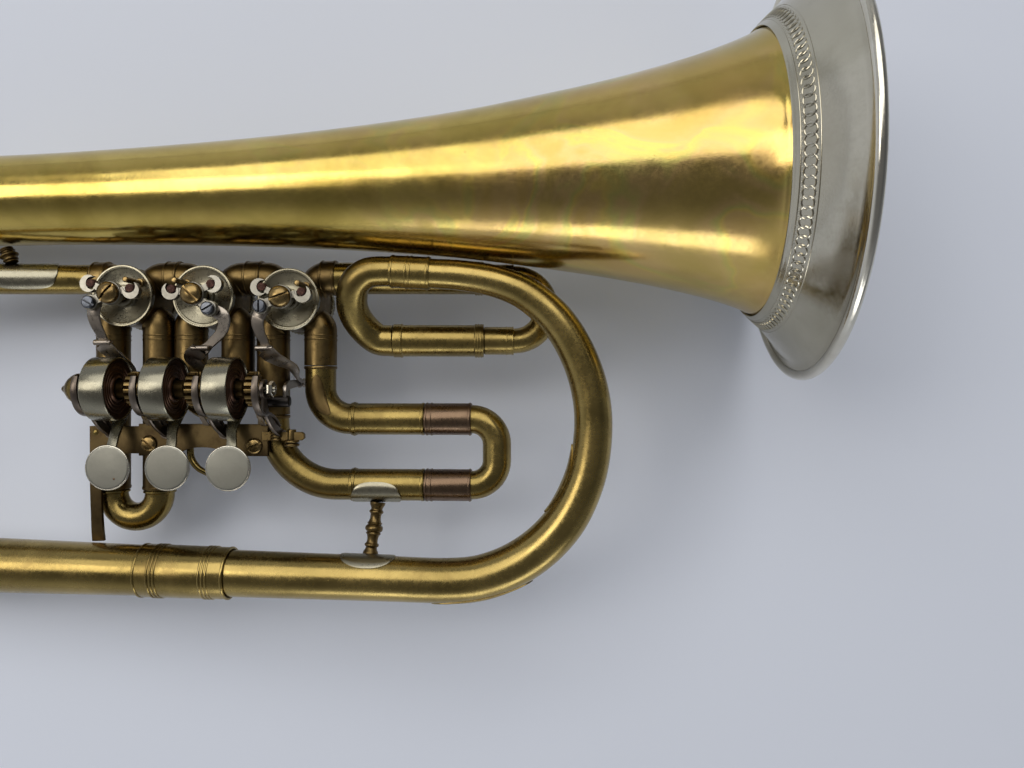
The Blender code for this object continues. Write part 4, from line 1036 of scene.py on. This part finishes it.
def make_plate(number):
    """The dished bearing plate: a thin rolled rim with a turned line inside it, and the stop pin."""
    u, v = VALVES[number - 1]
    low = CASING_HALF + GAP
    hole, outer, top = SPINDLE_RADIUS + GAP, PLATE_RADIUS, PLATE_TOP
    profile = [(low, hole), (low, outer - 0.3), (low + 0.5, outer), (top - 0.2, outer), (top, outer - 0.2)]
    profile += [(top, outer - 0.65), (top - 0.35, outer - 0.8)]
    profile += [(top - 0.4, outer - 1.3), (top - 0.55, outer - 1.45)]
    dish = [(top - 0.6 - 0.9 * sin(pi * t / 10), outer - 1.6 - 1.08 * t) for t in range(6)]
    profile += dish + [(low + 1.1, 4.1), (low + 2.4, 3.8), (low + 2.6, 3.5), (low + 2.6, hole)]
    disc = lathe((u, v, 0), UP, profile, 96, True)
    piece(f"plate_{number}_dish", [disc], ROW, NICKEL, [f"front_plate_{number}"])
    foot = Vector((u, v, low + 0.8)) + heading(radians(STOP_ARM[number]["pin"])) * ARM_REACH
    pin = rod(foot, foot + Vector((0, 0, ARM_Z[1] + 0.6 - foot.z)), 1.05, 24, 0.4)
    collar = lathe(foot, UP, rounded([(0, 0.1), (0, 1.8), (1.6, 1.6), (1.8, 0.1)], 0.3), 24)
    piece(f"stop_pin_{number}", [pin, collar], ROW, SCREW_BRASS)


def make_rear_cap(number):
    u, v = VALVES[number - 1]
    top = -CASING_HALF - GAP
    low = REAR_CAP_BOTTOM
    hole, outer = SPINDLE_RADIUS + GAP, PLATE_RADIUS
    profile = [(top, hole), (top, outer), (top - 0.5, outer + 0.35), (top - 2.2, outer + 0.35)]
    profile += [(low + 0.9, outer - 0.2), (low + 0.35, outer - 1.2), (low, outer - 2.4), (low, 5.2)]
    profile += [(low + 0.3, 4.9), (low + 0.3, 4.2), (low, 3.9), (low, 0.7)]
    profile += [(top - 2.3, 0.7), (top - 2.3, hole)]
    shapes = [lathe((u, v, 0), UP, rounded(profile, 0.2), 72, True)]
    for turn in full_turn(CAP_KNURLS):
        foot = Vector((u, v, 0)) + heading(turn) * (outer + 0.25)
        ends = [foot + Vector((0, 0, top - 0.6)), foot + Vector((0, 0, top - 2.1))]
        shapes.append(tube(ends, (0.28, 0.28), None, 6))
    piece(f"rear_cap_{number}_turned", shapes, ROW, NICKEL, [f"rear_cap_{number}"])


def crescent(centre, facing, low, high):
    """A pointed crescent that holds a cork, open towards facing: a circle less a shifted smaller one."""
    outer, inner, shift, steps = 3.1, 2.35, 1.5, 20
    from_outer = acos((outer**2 + shift**2 - inner**2) / (2 * outer * shift))
    from_inner = acos((outer**2 - shift**2 - inner**2) / (2 * inner * shift))
    hollow = centre + heading(facing) * shift
    outline = []
    for step in range(steps + 1):
        angle = facing + from_outer + 2 * (pi - from_outer) * step / steps
        outline.append(centre + heading(angle) * outer)
    for step in range(1, steps):
        angle = facing - from_inner - 2 * (pi - from_inner) * step / steps
        outline.append(hollow + heading(angle) * inner)
    return loft([[point + Vector((0, 0, z)) for point in outline] for z in (low, high)])


def make_stop_arm(number):
    """Hub, two crescents with their corks, the eye of the link, and the domed and flat screws."""
    valve, up = Vector((*VALVES[number - 1], 0)), Vector(UP)
    low, high = ARM_Z
    half_up = Vector((0, 0, (low + high) / 2))
    ways = {key: heading(radians(STOP_ARM[number][key])) for key in ("near", "far", "link", "pin")}
    hub = [(low, 2.3), (low, 4.3), (high, 4.3), (high, 2.3)]
    shapes, corks = [lathe(valve, up, rounded(hub, 0.3), 48, True)], []
    cork = rounded([(low + 0.3, 0.02), (low + 0.3, 1.6), (high + 0.2, 1.5), (high + 0.3, 0.02)], 0.35)
    for key in ("near", "far"):
        centre = valve + ways[key] * ARM_REACH
        to_pin = (valve + ways["pin"] * ARM_REACH - centre).normalized()
        shapes.append(crescent(centre - to_pin * 0.5, atan2(to_pin.y, to_pin.x), low + 0.4, high - 0.1))
        neck_start, neck_end = valve + ways[key] * 3.6, centre - ways[key] * 2.5
        across = up.cross(ways[key])
        neck = ((neck_end - neck_start).length + 1.2, 2.3, 2.3)
        shapes.append(block((neck_start + neck_end) / 2 + half_up, ways[key], across, up, neck))
        corks.append(lathe(centre + to_pin * 0.4, up, cork, 28))
    eye = valve + ways["link"] * ARM_REACH
    round_eye = [(low + 0.3, 0.02), (low + 0.3, 2.9), (high - 0.3, 2.9), (high - 0.3, 0.02)]
    shapes.append(lathe(eye, up, rounded(round_eye, 0.3), 40))
    across = up.cross(ways["link"])
    shapes.append(block((eye + valve) / 2 + half_up, ways["link"], across, up, (5.0, 3.2, 2.3)))
    body = f"rotor_{number}"
    piece(f"stop_arm_{number}_plate", shapes, ROW, ARM_NICKEL, [f"stop_arm_{number}"], body=body)
    piece(f"corks_{number}", corks, ROW, CORK, body=body)
    slot_angle = radians(STOP_ARM[number]["slot"] + 180)
    top = slotted(valve, up, dome(high - 0.3, 4.0, 3.3), slot_angle, 0.9, 1.5)
    piece(f"dome_screw_{number}", [top], ROW, SCREW_BRASS, body=body)
    flat = [(high - 0.4, 0.02), (high - 0.4, 2.35), (high + 1.2, 2.35), (high + 1.6, 1.9), (high + 1.6, 0.02)]
    head = slotted(eye, up, rounded(flat, 0.25), radians(60 * number), 0.7, 0.9)
    piece(f"link_screw_{number}", [head], ROW, BLUED_STEEL, body=body)


def make_rotor(number):
    """The plug inside the casing keeps the frame's shape, in aged brass."""
    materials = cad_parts[f"rotor_{number}"].data.materials
    materials.clear()
    materials.append(SCREW_BRASS)


# ---------------------------------------------------------------- valve slides


def make_short_slides():
    for number, inner_leg in ((1, 30.0), (2, 12.0)):
        u = VALVES[number - 1][0]
        end = LOOP_LEG_V[number - 1] - GAP
        low, high = Vector((u - PORT_OFFSET, end, 0)), Vector((u + PORT_OFFSET, end, 0))
        out = Vector((0, -1, 0))
        radii = (LEG_RADIUS, PIPE_RADIUS - 0.15, BOW_RADIUS)
        shapes = [slide_bow(low, high, out, (inner_leg, 1.2, 0.2), radii)]
        piece(f"slide_{number}_bow", shapes, ROW, BOW_BRASS, [f"slide_{number}"], body=f"slide_{number}")


def make_third_leg(name, u, top_v, v, bend):
    """An outer leg of the third slide, from the casing's port round to its mouth."""
    path = fillet(((u, top_v, 0), (u, v, 0), (THIRD_MOUTH_U, v, 0)), (bend,), 20)
    sleeve_u = 55.2
    mouth = Vector((THIRD_MOUTH_U, v, 0))
    shapes = [tube(path, (THIRD_RADIUS, THIRD_RADIUS), 0.75, 56)]
    shapes += ferrule((sleeve_u - 2.2, v, 0), (sleeve_u, v, 0), 6.2, 5.5, (0.5,))
    shapes.append(tube([Vector((sleeve_u, v, 0)), mouth], (5.95, 5.95), 0.5, 56))
    shapes.append(seam_ring(mouth - Vector((0.6, 0, 0)), ALONG, 5.95, 1.0, 0.2))
    piece(f"third_leg_{name}_tube", shapes, ROW, TUBE_BRASS, [f"slide_3_leg_{name}"])
    line = seam_ring((u, top_v - 0.6, 0), ACROSS, 5.85, 1.1, 0.35)
    piece(f"third_leg_{name}_line", [line], ROW, DARK_BRASS)
    return path


def make_third_slide():
    """Two outer legs with a leaf-shaped patch and a saddle, and the slide with its red collars."""
    upper_v, lower_v = THIRD_LEGS_V
    legs_u = [VALVES[2][0] + side * PORT_OFFSET for side in (1, -1)]
    radii = (THIRD_RADIUS, THIRD_RADIUS)
    path = make_third_leg("upper", legs_u[0], -25.6, upper_v, 11.6)
    patch = leaf(path, radii, 11.5, UP, 8.2, 3.1, 0.35, 1.8)
    piece("third_leg_patch", [patch], ROW, DARK_BRASS)
    path = make_third_leg("lower", legs_u[1], -44.2, lower_v, 24.5)
    saddle = leaf(path, radii, distances(path)[-1] - 17.6, (0, -0.7, 0.7), 9.3, 6.2, 0.75, 2.6)
    piece("third_leg_saddle", [saddle], ROW, NICKEL)
    inner_u, collar_u, bow_u = 57.0, 98.7, 108.15
    leg, ring, bow = 4.9, 6.0, 5.35
    corners = ((collar_u, upper_v, 0), (bow_u, upper_v, 0), (bow_u, lower_v, 0), (collar_u, lower_v, 0))
    ends = [Vector((collar_u - 0.5, v, 0)) for v in THIRD_LEGS_V]
    path = [ends[0], *fillet(corners, (9.4, 9.4), 12)[1:-1], ends[1]]
    shapes = [
        tube([Vector((inner_u, v, 0)), Vector((collar_u, v, 0))], (leg, leg), 0.5, 48) for v in THIRD_LEGS_V
    ]
    shapes.append(tube(path, [bow] * len(path), 0.5, 56))
    piece("third_slide_bow", shapes, ROW, TUBE_BRASS, ["slide_3"], body="slide_3")
    collars = []
    for v in THIRD_LEGS_V:
        collars += ferrule((THIRD_MOUTH_U + GAP, v, 0), (collar_u, v, 0), ring, 4.8, (0.04, 0.14, 0.96))
    piece("third_slide_collars", collars, ROW, RED_BRASS, body="slide_3")


# ---------------------------------------------------------------- levers


def on_axle(u):
    return Vector((u, AXLE_V, AXLE_Z))


def make_post(u):
    """A post's strap up to the axle, its foot, the hoop behind the drums, and the eye round the axle."""
    path = [(u + 2.6, -50.6, 7.6), (u + 2.5, -50.6, 9.0), (u + 2.0, -49.2, 11.6), (u + 1.2, -46.8, 14.8)]
    path += [(u + 0.4, -42.8, 17.8), (u, -38.5, 18.9), on_axle(u)]
    post = strap(spline(path, 5), (0, 1, -1), (3.4, 3.2, 2.9, 3.0), 1.25, 0.3)
    oval = [(u + 2.6 + 2.4 * cos(a), -51.0 + 1.9 * sin(a)) for a in full_turn(20)]
    foot = slab(oval, ON_RAIL_Z, ON_RAIL_Z + 0.9, 0.2)
    angles = [radians(angle) for angle in range(62, 212, 15)]
    hoop = [on_axle(u) + Vector((0, 9.3 * cos(a), 9.3 * sin(a))) for a in angles]
    hoop += [(u + 0.6, -45.0, 11.6), (u + 1.6, -48.2, 9.2)]
    hoop = strap(spline(hoop, 3), ALONG, (2.0, 2.5, 2.6, 2.6, 2.6, 2.8), 1.1, 0.25)
    bore = AXLE_RADIUS + 0.1
    eye = rounded([(-0.75, bore), (-0.75, 3.6), (0.75, 3.6), (0.75, bore)], 0.3)
    return [post, foot, hoop, lathe(on_axle(u), ALONG, eye, 40, True)]


def make_base():
    """The rail with its posts, screws and rivet, the thumb bar, the strap and the finger hook."""
    angles = [pi * k / 16 for k in range(16, -1, -1)]
    arch = [(-1.2 + 9.0 * cos(a), -59.2 + 3.2 * sin(a)) for a in angles]
    outline = [(-44.3, -48.2), (-44.3, -58.4), (-25.5, -58.4), (-25.5, -59.2), *arch, (23.5, -59.2)]
    outline += [(23.5, -47.3), (-25.5, -47.3), (-25.5, -48.2)]
    piece("rail_plate", [slab(outline, *RAIL_Z, 0.15)], ROW, RAIL_BRASS, ["base_rail"])
    piece("rail_posts", [shape for u in POSTS_U for shape in make_post(u)], ROW, POST_NICKEL)
    screw = rounded([(0, 0.02), (0, 3.0), (0.8, 3.0), (1.4, 2.2), (1.5, 0.02)], 0.3)
    heads = []
    for u, v, slot in ((-21.5, -54.6, 50), (18.4, -55.4, -65)):
        heads.append(slotted((u, v, ON_RAIL_Z), UP, screw, radians(slot), 0.8, 0.8))
    piece("rail_screws", heads, ROW, SCREW_BRASS)
    rivet = lathe((-42.0, -50.6, ON_RAIL_Z), UP, dome(0, 1.1, 0.5), 20)
    piece("rail_rivet", [rivet], ROW, TUBE_BRASS)
    outline = [(21.5, -50.1), (36.6, -50.1), (37.6, -50.9), (37.6, -52.4), (36.6, -53.2), (21.5, -53.2)]
    shapes = [slab(outline, 7.7, 9.6, 0.25), rod((32.6, -49.2, 8.6), (32.6, -54.6, 8.6), 1.6, 24)]
    shapes += [torus((32.6, v, 8.6), ACROSS, 2.3, 0.55, 32, 10) for v in (-53.6, -54.9)]
    shapes += [torus((26.9, v, 9.4), ACROSS, 1.6, 0.5, 28, 8) for v in (-50.6, -51.7, -52.8)]
    piece("thumb_bar", shapes, ROW, DARK_BRASS)
    path = [
        (-43.6, -60.2, 7.4), (-43.7, -68, 7.3), (-43.9, -76.0, 7.0), (-44.0, -84.5, 6.6), (-44.0, -90.5, 6.0),
    ]
    bar = strap(spline(path, 4), ALONG, (4.8, 4.6, 4.4, 4.8), 1.5, 0.2)
    piece("strap_bar", [bar], INSTRUMENT, RAIL_BRASS, ["rail_strap"])
    path = [(-7.4, -56.4, 5.0), (-6.8, -60.5, 5.0), (-4.2, -64.0, 5.2), (-0.4, -66.0, 5.6)]
    hook = tube(spline(path, 8), (1.3, 1.25, 1.05), None, 24)
    button = [(0, 0.05), (0.1, 0.9), (0.6, 1.35), (1.3, 1.35), (1.8, 0.9), (2.0, 0.05)]
    tip = lathe((-0.6, -66.0, 5.6), (1, -0.25, 0.05), button, 24)
    piece("finger_hook_wire", [hook, tip], ROW, TUBE_BRASS, ["finger_hook"])


def make_axle():
    """The finial and the axle in one, then the stud with its six-sided nut and three threads."""
    left, right = -48.2, 30.2
    finial = [(0, 0.02), (0.15, 0.7), (0.9, 1.35), (1.5, 1.6), (2.2, 2.7), (3.4, 4.1), (4.8, 5.1), (5.8, 5.5)]
    finial += [(6.4, 5.6), (6.7, 5.3), (6.7, 4.7), (6.1, 4.3), (5.7, 2.0), (8.6, 1.9)]
    profile = [*finial, (8.8, AXLE_RADIUS), (73.5, AXLE_RADIUS), (73.5, 0.02)]
    shapes = [lathe(on_axle(left), ALONG, profile, 48)]
    piece("axle_finial", shapes, ROW, TUBE_BRASS, ["lever_axle"], slot="steel")
    shapes = [wheel(on_axle(left + 75.6), ALONG, [(a, 2.9) for a in full_turn(6)], 2.2)]
    shapes.append(rod(on_axle(left + 73), on_axle(right), 1.15, 20, 0.4))
    shapes += [torus(on_axle(right - 0.5 - 0.55 * k), ALONG, 1.1, 0.18, 20, 6) for k in range(3)]
    piece("axle_nut", shapes, ROW, BRIGHT_NICKEL, slot="steel")


def crank_end(number):
    reach = Vector((0, sin(CRANK_ANGLE), -cos(CRANK_ANGLE))) * CRANK_REACH
    return on_axle(CRANK_U[number - 1]) + reach


def make_drum(number, paddle_u):
    """The barrel, with the strap that carries the paddle."""
    left, right = DRUMS_U[number - 1]
    middle, width = (left + right) / 2, right - left
    inner, bore = DRUM_RADIUS - 0.8, AXLE_RADIUS + GAP
    shell = [(0, bore), (0, DRUM_RADIUS), (width, DRUM_RADIUS), (width, inner), (0.9, inner), (0.9, bore)]
    path = [(-35.5, 7.9), (-40.2, 8.9), (-43.5, 10.3), (-46.8, 12.0), (-50.0, 13.8)]
    path = [(middle, v, z) for v, z in path] + [(paddle_u, -54.0, 15.9), (paddle_u, -58.5, 18.2)]
    shapes = [lathe(on_axle(left), ALONG, rounded(shell, 0.45), 96, True)]
    shapes.append(strap(spline(path, 5), ALONG, (9.0, 8.6, 6.6, 4.3, 3.6, 3.7, 4.4), 1.1, 0.25))
    body = f"lever_{number}"
    piece(f"drum_{number}", shapes, ROW, DRUM_NICKEL, [body], body=body)


def make_drum_cover(number):
    """The brown plate with raised rings that closes the barrel."""
    left, right = DRUMS_U[number - 1]
    inner, face = DRUM_RADIUS - 0.8, right - left - 0.75
    cover = [(1.0, 3.9), (1.0, inner - 0.02), (face, inner - 0.02), (face, inner - 0.5)]
    cover.append((face - 0.25, inner - 0.8))
    for ring in (8.6, 7.2, 5.9):
        cover += [(face - 0.25, ring + 0.25), (face - 0.05, ring + 0.1)]
        cover += [(face - 0.05, ring - 0.1), (face - 0.3, ring - 0.25)]
    cover += [(face - 0.3, 4.9), (face + 0.3, 4.6), (face + 0.5, 4.2), (face + 0.5, 3.9)]
    shape = lathe(on_axle(left), ALONG, cover, 72, True)
    piece(f"drum_{number}_cover", [shape], ROW, DRUM_BROWN, body=f"lever_{number}")


def make_paddle(number, paddle_u):
    """The paddle's disc and its bright rim."""
    body = f"lever_{number}"
    disc = [(-1.35, 0.02), (-1.35, -0.3), (-0.9, 0), (-0.35, 0), (-0.05, -0.35), (0.0, -1.0), (0.05, 0.02)]
    disc = [(PADDLE_Z + z, r if r == 0.02 else PADDLE_RADIUS + r) for z, r in disc]
    centre = Vector((paddle_u, PADDLE_V, 0))
    piece(f"paddle_{number}", [lathe(centre, UP, disc, 96)], ROW, PADDLE_NICKEL, body=body)
    rim = torus(centre + Vector((0, 0, PADDLE_Z - 0.4)), UP, PADDLE_RADIUS - 0.25, 0.34, 96, 12)
    piece(f"paddle_{number}_rim", [rim], ROW, BRIGHT_NICKEL, body=body)


def make_lever(number):
    """Drum, paddle and crank, a bar across where the crank is beside the drum, and the first paddle's pit."""
    left, right = DRUMS_U[number - 1]
    middle, crank_u = (left + right) / 2, CRANK_U[number - 1]
    paddle_u = middle + PADDLE_SHIFT[number - 1]
    body = f"lever_{number}"
    make_drum(number, paddle_u)
    foot = rounded([(0, 0.02), (0, 2.1), (1.4, 2.6), (1.4, 0.02)], 0.2)
    post = lathe((paddle_u, -58.6, 17.4), UP, foot, 24)
    knots = [Vector((crank_u, AXLE_V + 0.9, AXLE_Z - 10.7)), crank_end(number)]
    if number == 3:
        knots.insert(0, Vector((crank_u, -38.4, 9.0)))
    crank = strap(spline(knots, 5), (0, 1, 0.3), (3.4, 3.2, 2.6), 1.2)
    eye = rounded([(0, 0.02), (0, 1.9), (1.2, 1.9), (1.2, 0.02)], 0.25)
    eye = lathe(crank_end(number) - Vector((0.6, 0, 0)), ALONG, eye, 28)
    piece(f"crank_{number}", [post, crank, eye], ROW, LINK_NICKEL, body=body)
    make_paddle(number, paddle_u)
    make_drum_cover(number)
    if abs(crank_u - middle) > (right - left) / 2:
        bar_v = {2: AXLE_V - 0.4, 3: -38.8}[number]
        bar = rod((right - 1.2, bar_v, 9.3), (crank_u + 1.6, bar_v, 9.3), 2.15, 32, 0.7)
        piece(f"cross_bar_{number}", [bar], ROW, BLACK_STEEL, body=body)
    if number == 1:
        place = (paddle_u + 2.6, PADDLE_V - 4.0, PADDLE_Z - 0.2)
        pit = lathe(place, UP, dome(0, 0.5, 0.35), 16)
        piece("paddle_1_pit", [pit], ROW, RED_BRASS, body=body, slot="nickel_silver")


def make_spring(number):
    """The clock spring's coils."""
    middle = on_axle(DRUMS_U[number - 1][0] + 4.6)
    inner, outer, steps, steps_a_turn = 4.3, 9.2, 140, 40
    path = []
    for step in range(steps + 1):
        angle = 2 * pi * step / steps_a_turn
        radius = inner + (outer - inner) * step / steps
        path.append(middle + Vector((0, cos(angle), sin(angle))) * radius)
    coils = strap(path, ALONG, (5.6, 5.6), 0.42)
    piece(f"clock_spring_{number}", [coils], ROW, DRUM_BROWN, [f"lever_spring_{number}"])


def make_ratchet(number):
    """The toothed wheel with its hub and collar, and the pawl."""
    low, high = RATCHETS_U[number - 1]
    tooth = ((0.0, 6.3), (0.08, 6.35), (0.42, 6.35), (0.5, 6.3), (0.58, 5.2), (0.75, 4.9), (0.92, 5.2))
    step = 2 * pi / RATCHET_TEETH
    outline = [(step * (count + share), radius) for count in range(RATCHET_TEETH) for share, radius in tooth]
    shapes = [wheel(on_axle(low), ALONG, outline, high - low)]
    drum_left = DRUMS_U[number - 1][0]
    reach = low - drum_left
    hub = [(0, 0.1), (0, 3.2), (reach - 3.0, 3.2), (reach - 2.2, 4.0), (reach - 1.2, 4.4), (reach, 4.4)]
    shapes.append(lathe(on_axle(drum_left + 1.3), ALONG, rounded([*hub, (reach, 0.1)], 0.3), 40))
    collar = rounded([(0, 0.1), (0, 3.4), (1.6, 2.8), (1.6, 0.1)], 0.25)
    shapes.append(lathe(on_axle(high), ALONG, collar, 32))
    piece(f"ratchet_{number}_wheel", shapes, ROW, DARK_BRASS, [f"ratchet_{number}"])
    pawl = [
        (low + 1.5, -47.6, 9.4), (low + 1.4, -45.0, 12.6), (low + 1.4, -42.4, 15.4), (low + 1.5, -40.3, 17.6),
    ]
    pawl = strap(spline(pawl, 5), ALONG, (2.2, 1.6), 0.6)
    piece(f"pawl_{number}", [pawl], ROW, LINK_NICKEL, slot="steel")


def make_upper_link(number, knuckle):
    """From the stop arm's screw to the knuckle: a flat strip whose width stays level."""
    screw = Vector((*VALVES[number - 1], 16.1)) + heading(radians(STOP_ARM[number]["link"])) * ARM_REACH
    sweep = [Vector((screw.x + u, screw.y + v, z)) for u, v, z in LINK_SWEEPS[number - 1]]
    tab = Vector((knuckle.x, knuckle.y - 1.2, KNUCKLE_Z - KNUCKLE_RADIUS - 0.9))
    path = spline([screw, *sweep, tab], 10)
    corners = ((1, 0.2), (0.85, 0.5), (-0.85, 0.5), (-1, 0.2))
    section = [*corners, *[(-across, -height) for across, height in corners]]
    rings = []
    for point, axis, wide in zip(path, tangents(path), spread(path, (4.8, 4.9, 4.6, 4.1, 3.5, 3.2, 4.6))):
        side = axis.cross(Vector(UP)).normalized() * (wide / 2)
        rings.append([point + side * across + Vector((0, 0, height)) for across, height in section])
    eye = rounded([(0, 0.02), (0, 2.6), (1.0, 2.6), (1.0, 0.02)], 0.2)
    shapes = [loft(rings), lathe(screw - Vector((0, 0, 0.5)), UP, eye, 32)]
    name = f"link_upper_{number}"
    piece(f"upper_link_{number}", shapes, ROW, LINK_NICKEL, [name], body=name)


def make_lower_link(number, knuckle):
    """From the knuckle's barrel down to the crank."""
    pivot = crank_end(number) + Vector((1.7, 0, 0))
    upper_side, lower_side = LINK_SIDES[number - 1]
    knots = [
        knuckle + Vector((0, -0.6, 0)),
        Vector((knuckle.x + upper_side, knuckle.y - 3.6, 13.2)),
        Vector((pivot.x + lower_side, knuckle.y * 0.45 + pivot.y * 0.55, 8.8)),
        Vector((pivot.x, pivot.y + 1.6, 0.0)),
        pivot,
    ]
    widths = (6.4, 6.4, 5.9, 5.0, 3.6, 2.0, 1.2, 1.0, 1.0)
    half = Vector((3.0, 0, 0))
    shapes = [strap(spline(knots, 10), ALONG, widths, 0.9, 0.3)]
    shapes.append(rod(knuckle - half, knuckle + half, KNUCKLE_RADIUS - 0.2, 24, 0.3))
    shapes += [lathe(knuckle + half * way, (way, 0, 0), dome(-0.2, 1.05, 0.6), 20) for way in (-1, 1)]
    shapes.append(rod(pivot - Vector((0.5, 0, 0)), pivot + Vector((0.5, 0, 0)), 1.7, 24))
    name = f"link_lower_{number}"
    piece(f"lower_link_{number}", shapes, ROW, LINK_NICKEL, [name], body=name)


def make_links(number):
    """Upper and lower links, which meet at the knuckle."""
    knuckle = Vector((*KNUCKLES[number - 1], KNUCKLE_Z))
    make_upper_link(number, knuckle)
    make_lower_link(number, knuckle)


# ---------------------------------------------------------------- stage, lights and camera


def make_stage():
    """A wide floor of pale paper."""
    floor = bpy.data.meshes.new("floor")
    size = 3.0
    corners = [(-size, -size, 0), (size, -size, 0), (size, size, 0), (-size, size, 0)]
    floor.from_pydata(corners, [], [(0, 1, 2, 3)])
    paper = bpy.data.materials.new("pale_paper")
    paper.use_nodes = True
    shader = paper.node_tree.nodes["Principled BSDF"]
    shader.inputs["Base Color"].default_value = (0.80, 0.85, 0.96, 1)
    shader.inputs["Roughness"].default_value = 0.85
    floor.materials.append(paper)
    made = link("floor", floor)


def make_light(name, place, size, power, colour):
    """A rectangular lamp that faces the middle of the instrument."""
    lamp = bpy.data.lights.new(name, "AREA")
    lamp.shape = "RECTANGLE"
    lamp.size, lamp.size_y = size
    lamp.energy = power
    lamp.color = colour
    made = link(name, lamp)
    made.location = place
    made.rotation_euler = (Vector(LIT_PLACE) - Vector(place)).to_track_quat("-Z", "Y").to_euler()


def make_lights():
    """Two window-like lamps, a small one at the left, and a room that is darker overhead and rightwards."""
    make_light("window_far", (-0.2, 1.0, 1.6), (2.2, 1.45), 20, (1.0, 0.98, 0.95))
    make_light("window_near", (0.3, -1.8, 0.45), (1.8, 0.55), 7, (0.95, 0.97, 1.0))
    make_light("lamp_left", (-1.3, 0.3, 1.5), (0.8, 0.8), 7, (1.0, 0.95, 0.88))
    world = bpy.data.worlds.new("studio")
    world.use_nodes = True
    tree = world.node_tree
    towards = add(tree, "ShaderNodeTexCoord").outputs["Generated"]
    height = add(tree, "ShaderNodeSeparateXYZ", None, Vector=towards)
    overhead = between(tree, height.outputs[2], 0.15, 0.75)
    rightwards = between(tree, height.outputs[0], 0.2, 0.8)
    room = mix(tree, overhead, (0.50, 0.515, 0.55), (0.13, 0.13, 0.135))
    room = mix(tree, times(tree, rightwards, 0.7), room, (0.06, 0.065, 0.075))
    tree.links.new(room, tree.nodes["Background"].inputs["Color"])
    tree.nodes["Background"].inputs["Strength"].default_value = 1.0
    bpy.context.scene.world = world
    bpy.context.scene.view_settings.view_transform = "Standard"


def make_camera():
    lens = bpy.data.cameras.new("camera")
    lens.lens = CAMERA_LENS
    lens.sensor_width = 36
    lens.clip_start = 0.01
    made = link("camera", lens)
    turn = Matrix.Rotation(CAMERA_LEAN, 4, "Y") @ Matrix.Rotation(-CAMERA_ROLL, 4, "Z")
    made.matrix_world = Matrix.Translation(INSTRUMENT @ Vector(CAMERA_PLACE)) @ REST_TURN @ turn
    bpy.context.scene.camera = made


make_bell()
make_back_bow()
make_bottom()
make_front_bow()
make_loop()
make_tuning_slide()
make_lead_pipe()
make_braces()
make_connectors()
make_short_slides()
make_third_slide()
make_base()
make_axle()
for valve in (1, 2, 3):
    make_casing(valve)
    make_plate(valve)
    make_rear_cap(valve)
    make_rotor(valve)
    make_stop_arm(valve)
    make_lever(valve)
    make_spring(valve)
    make_ratchet(valve)
    make_links(valve)
make_stage()
make_lights()
make_camera()
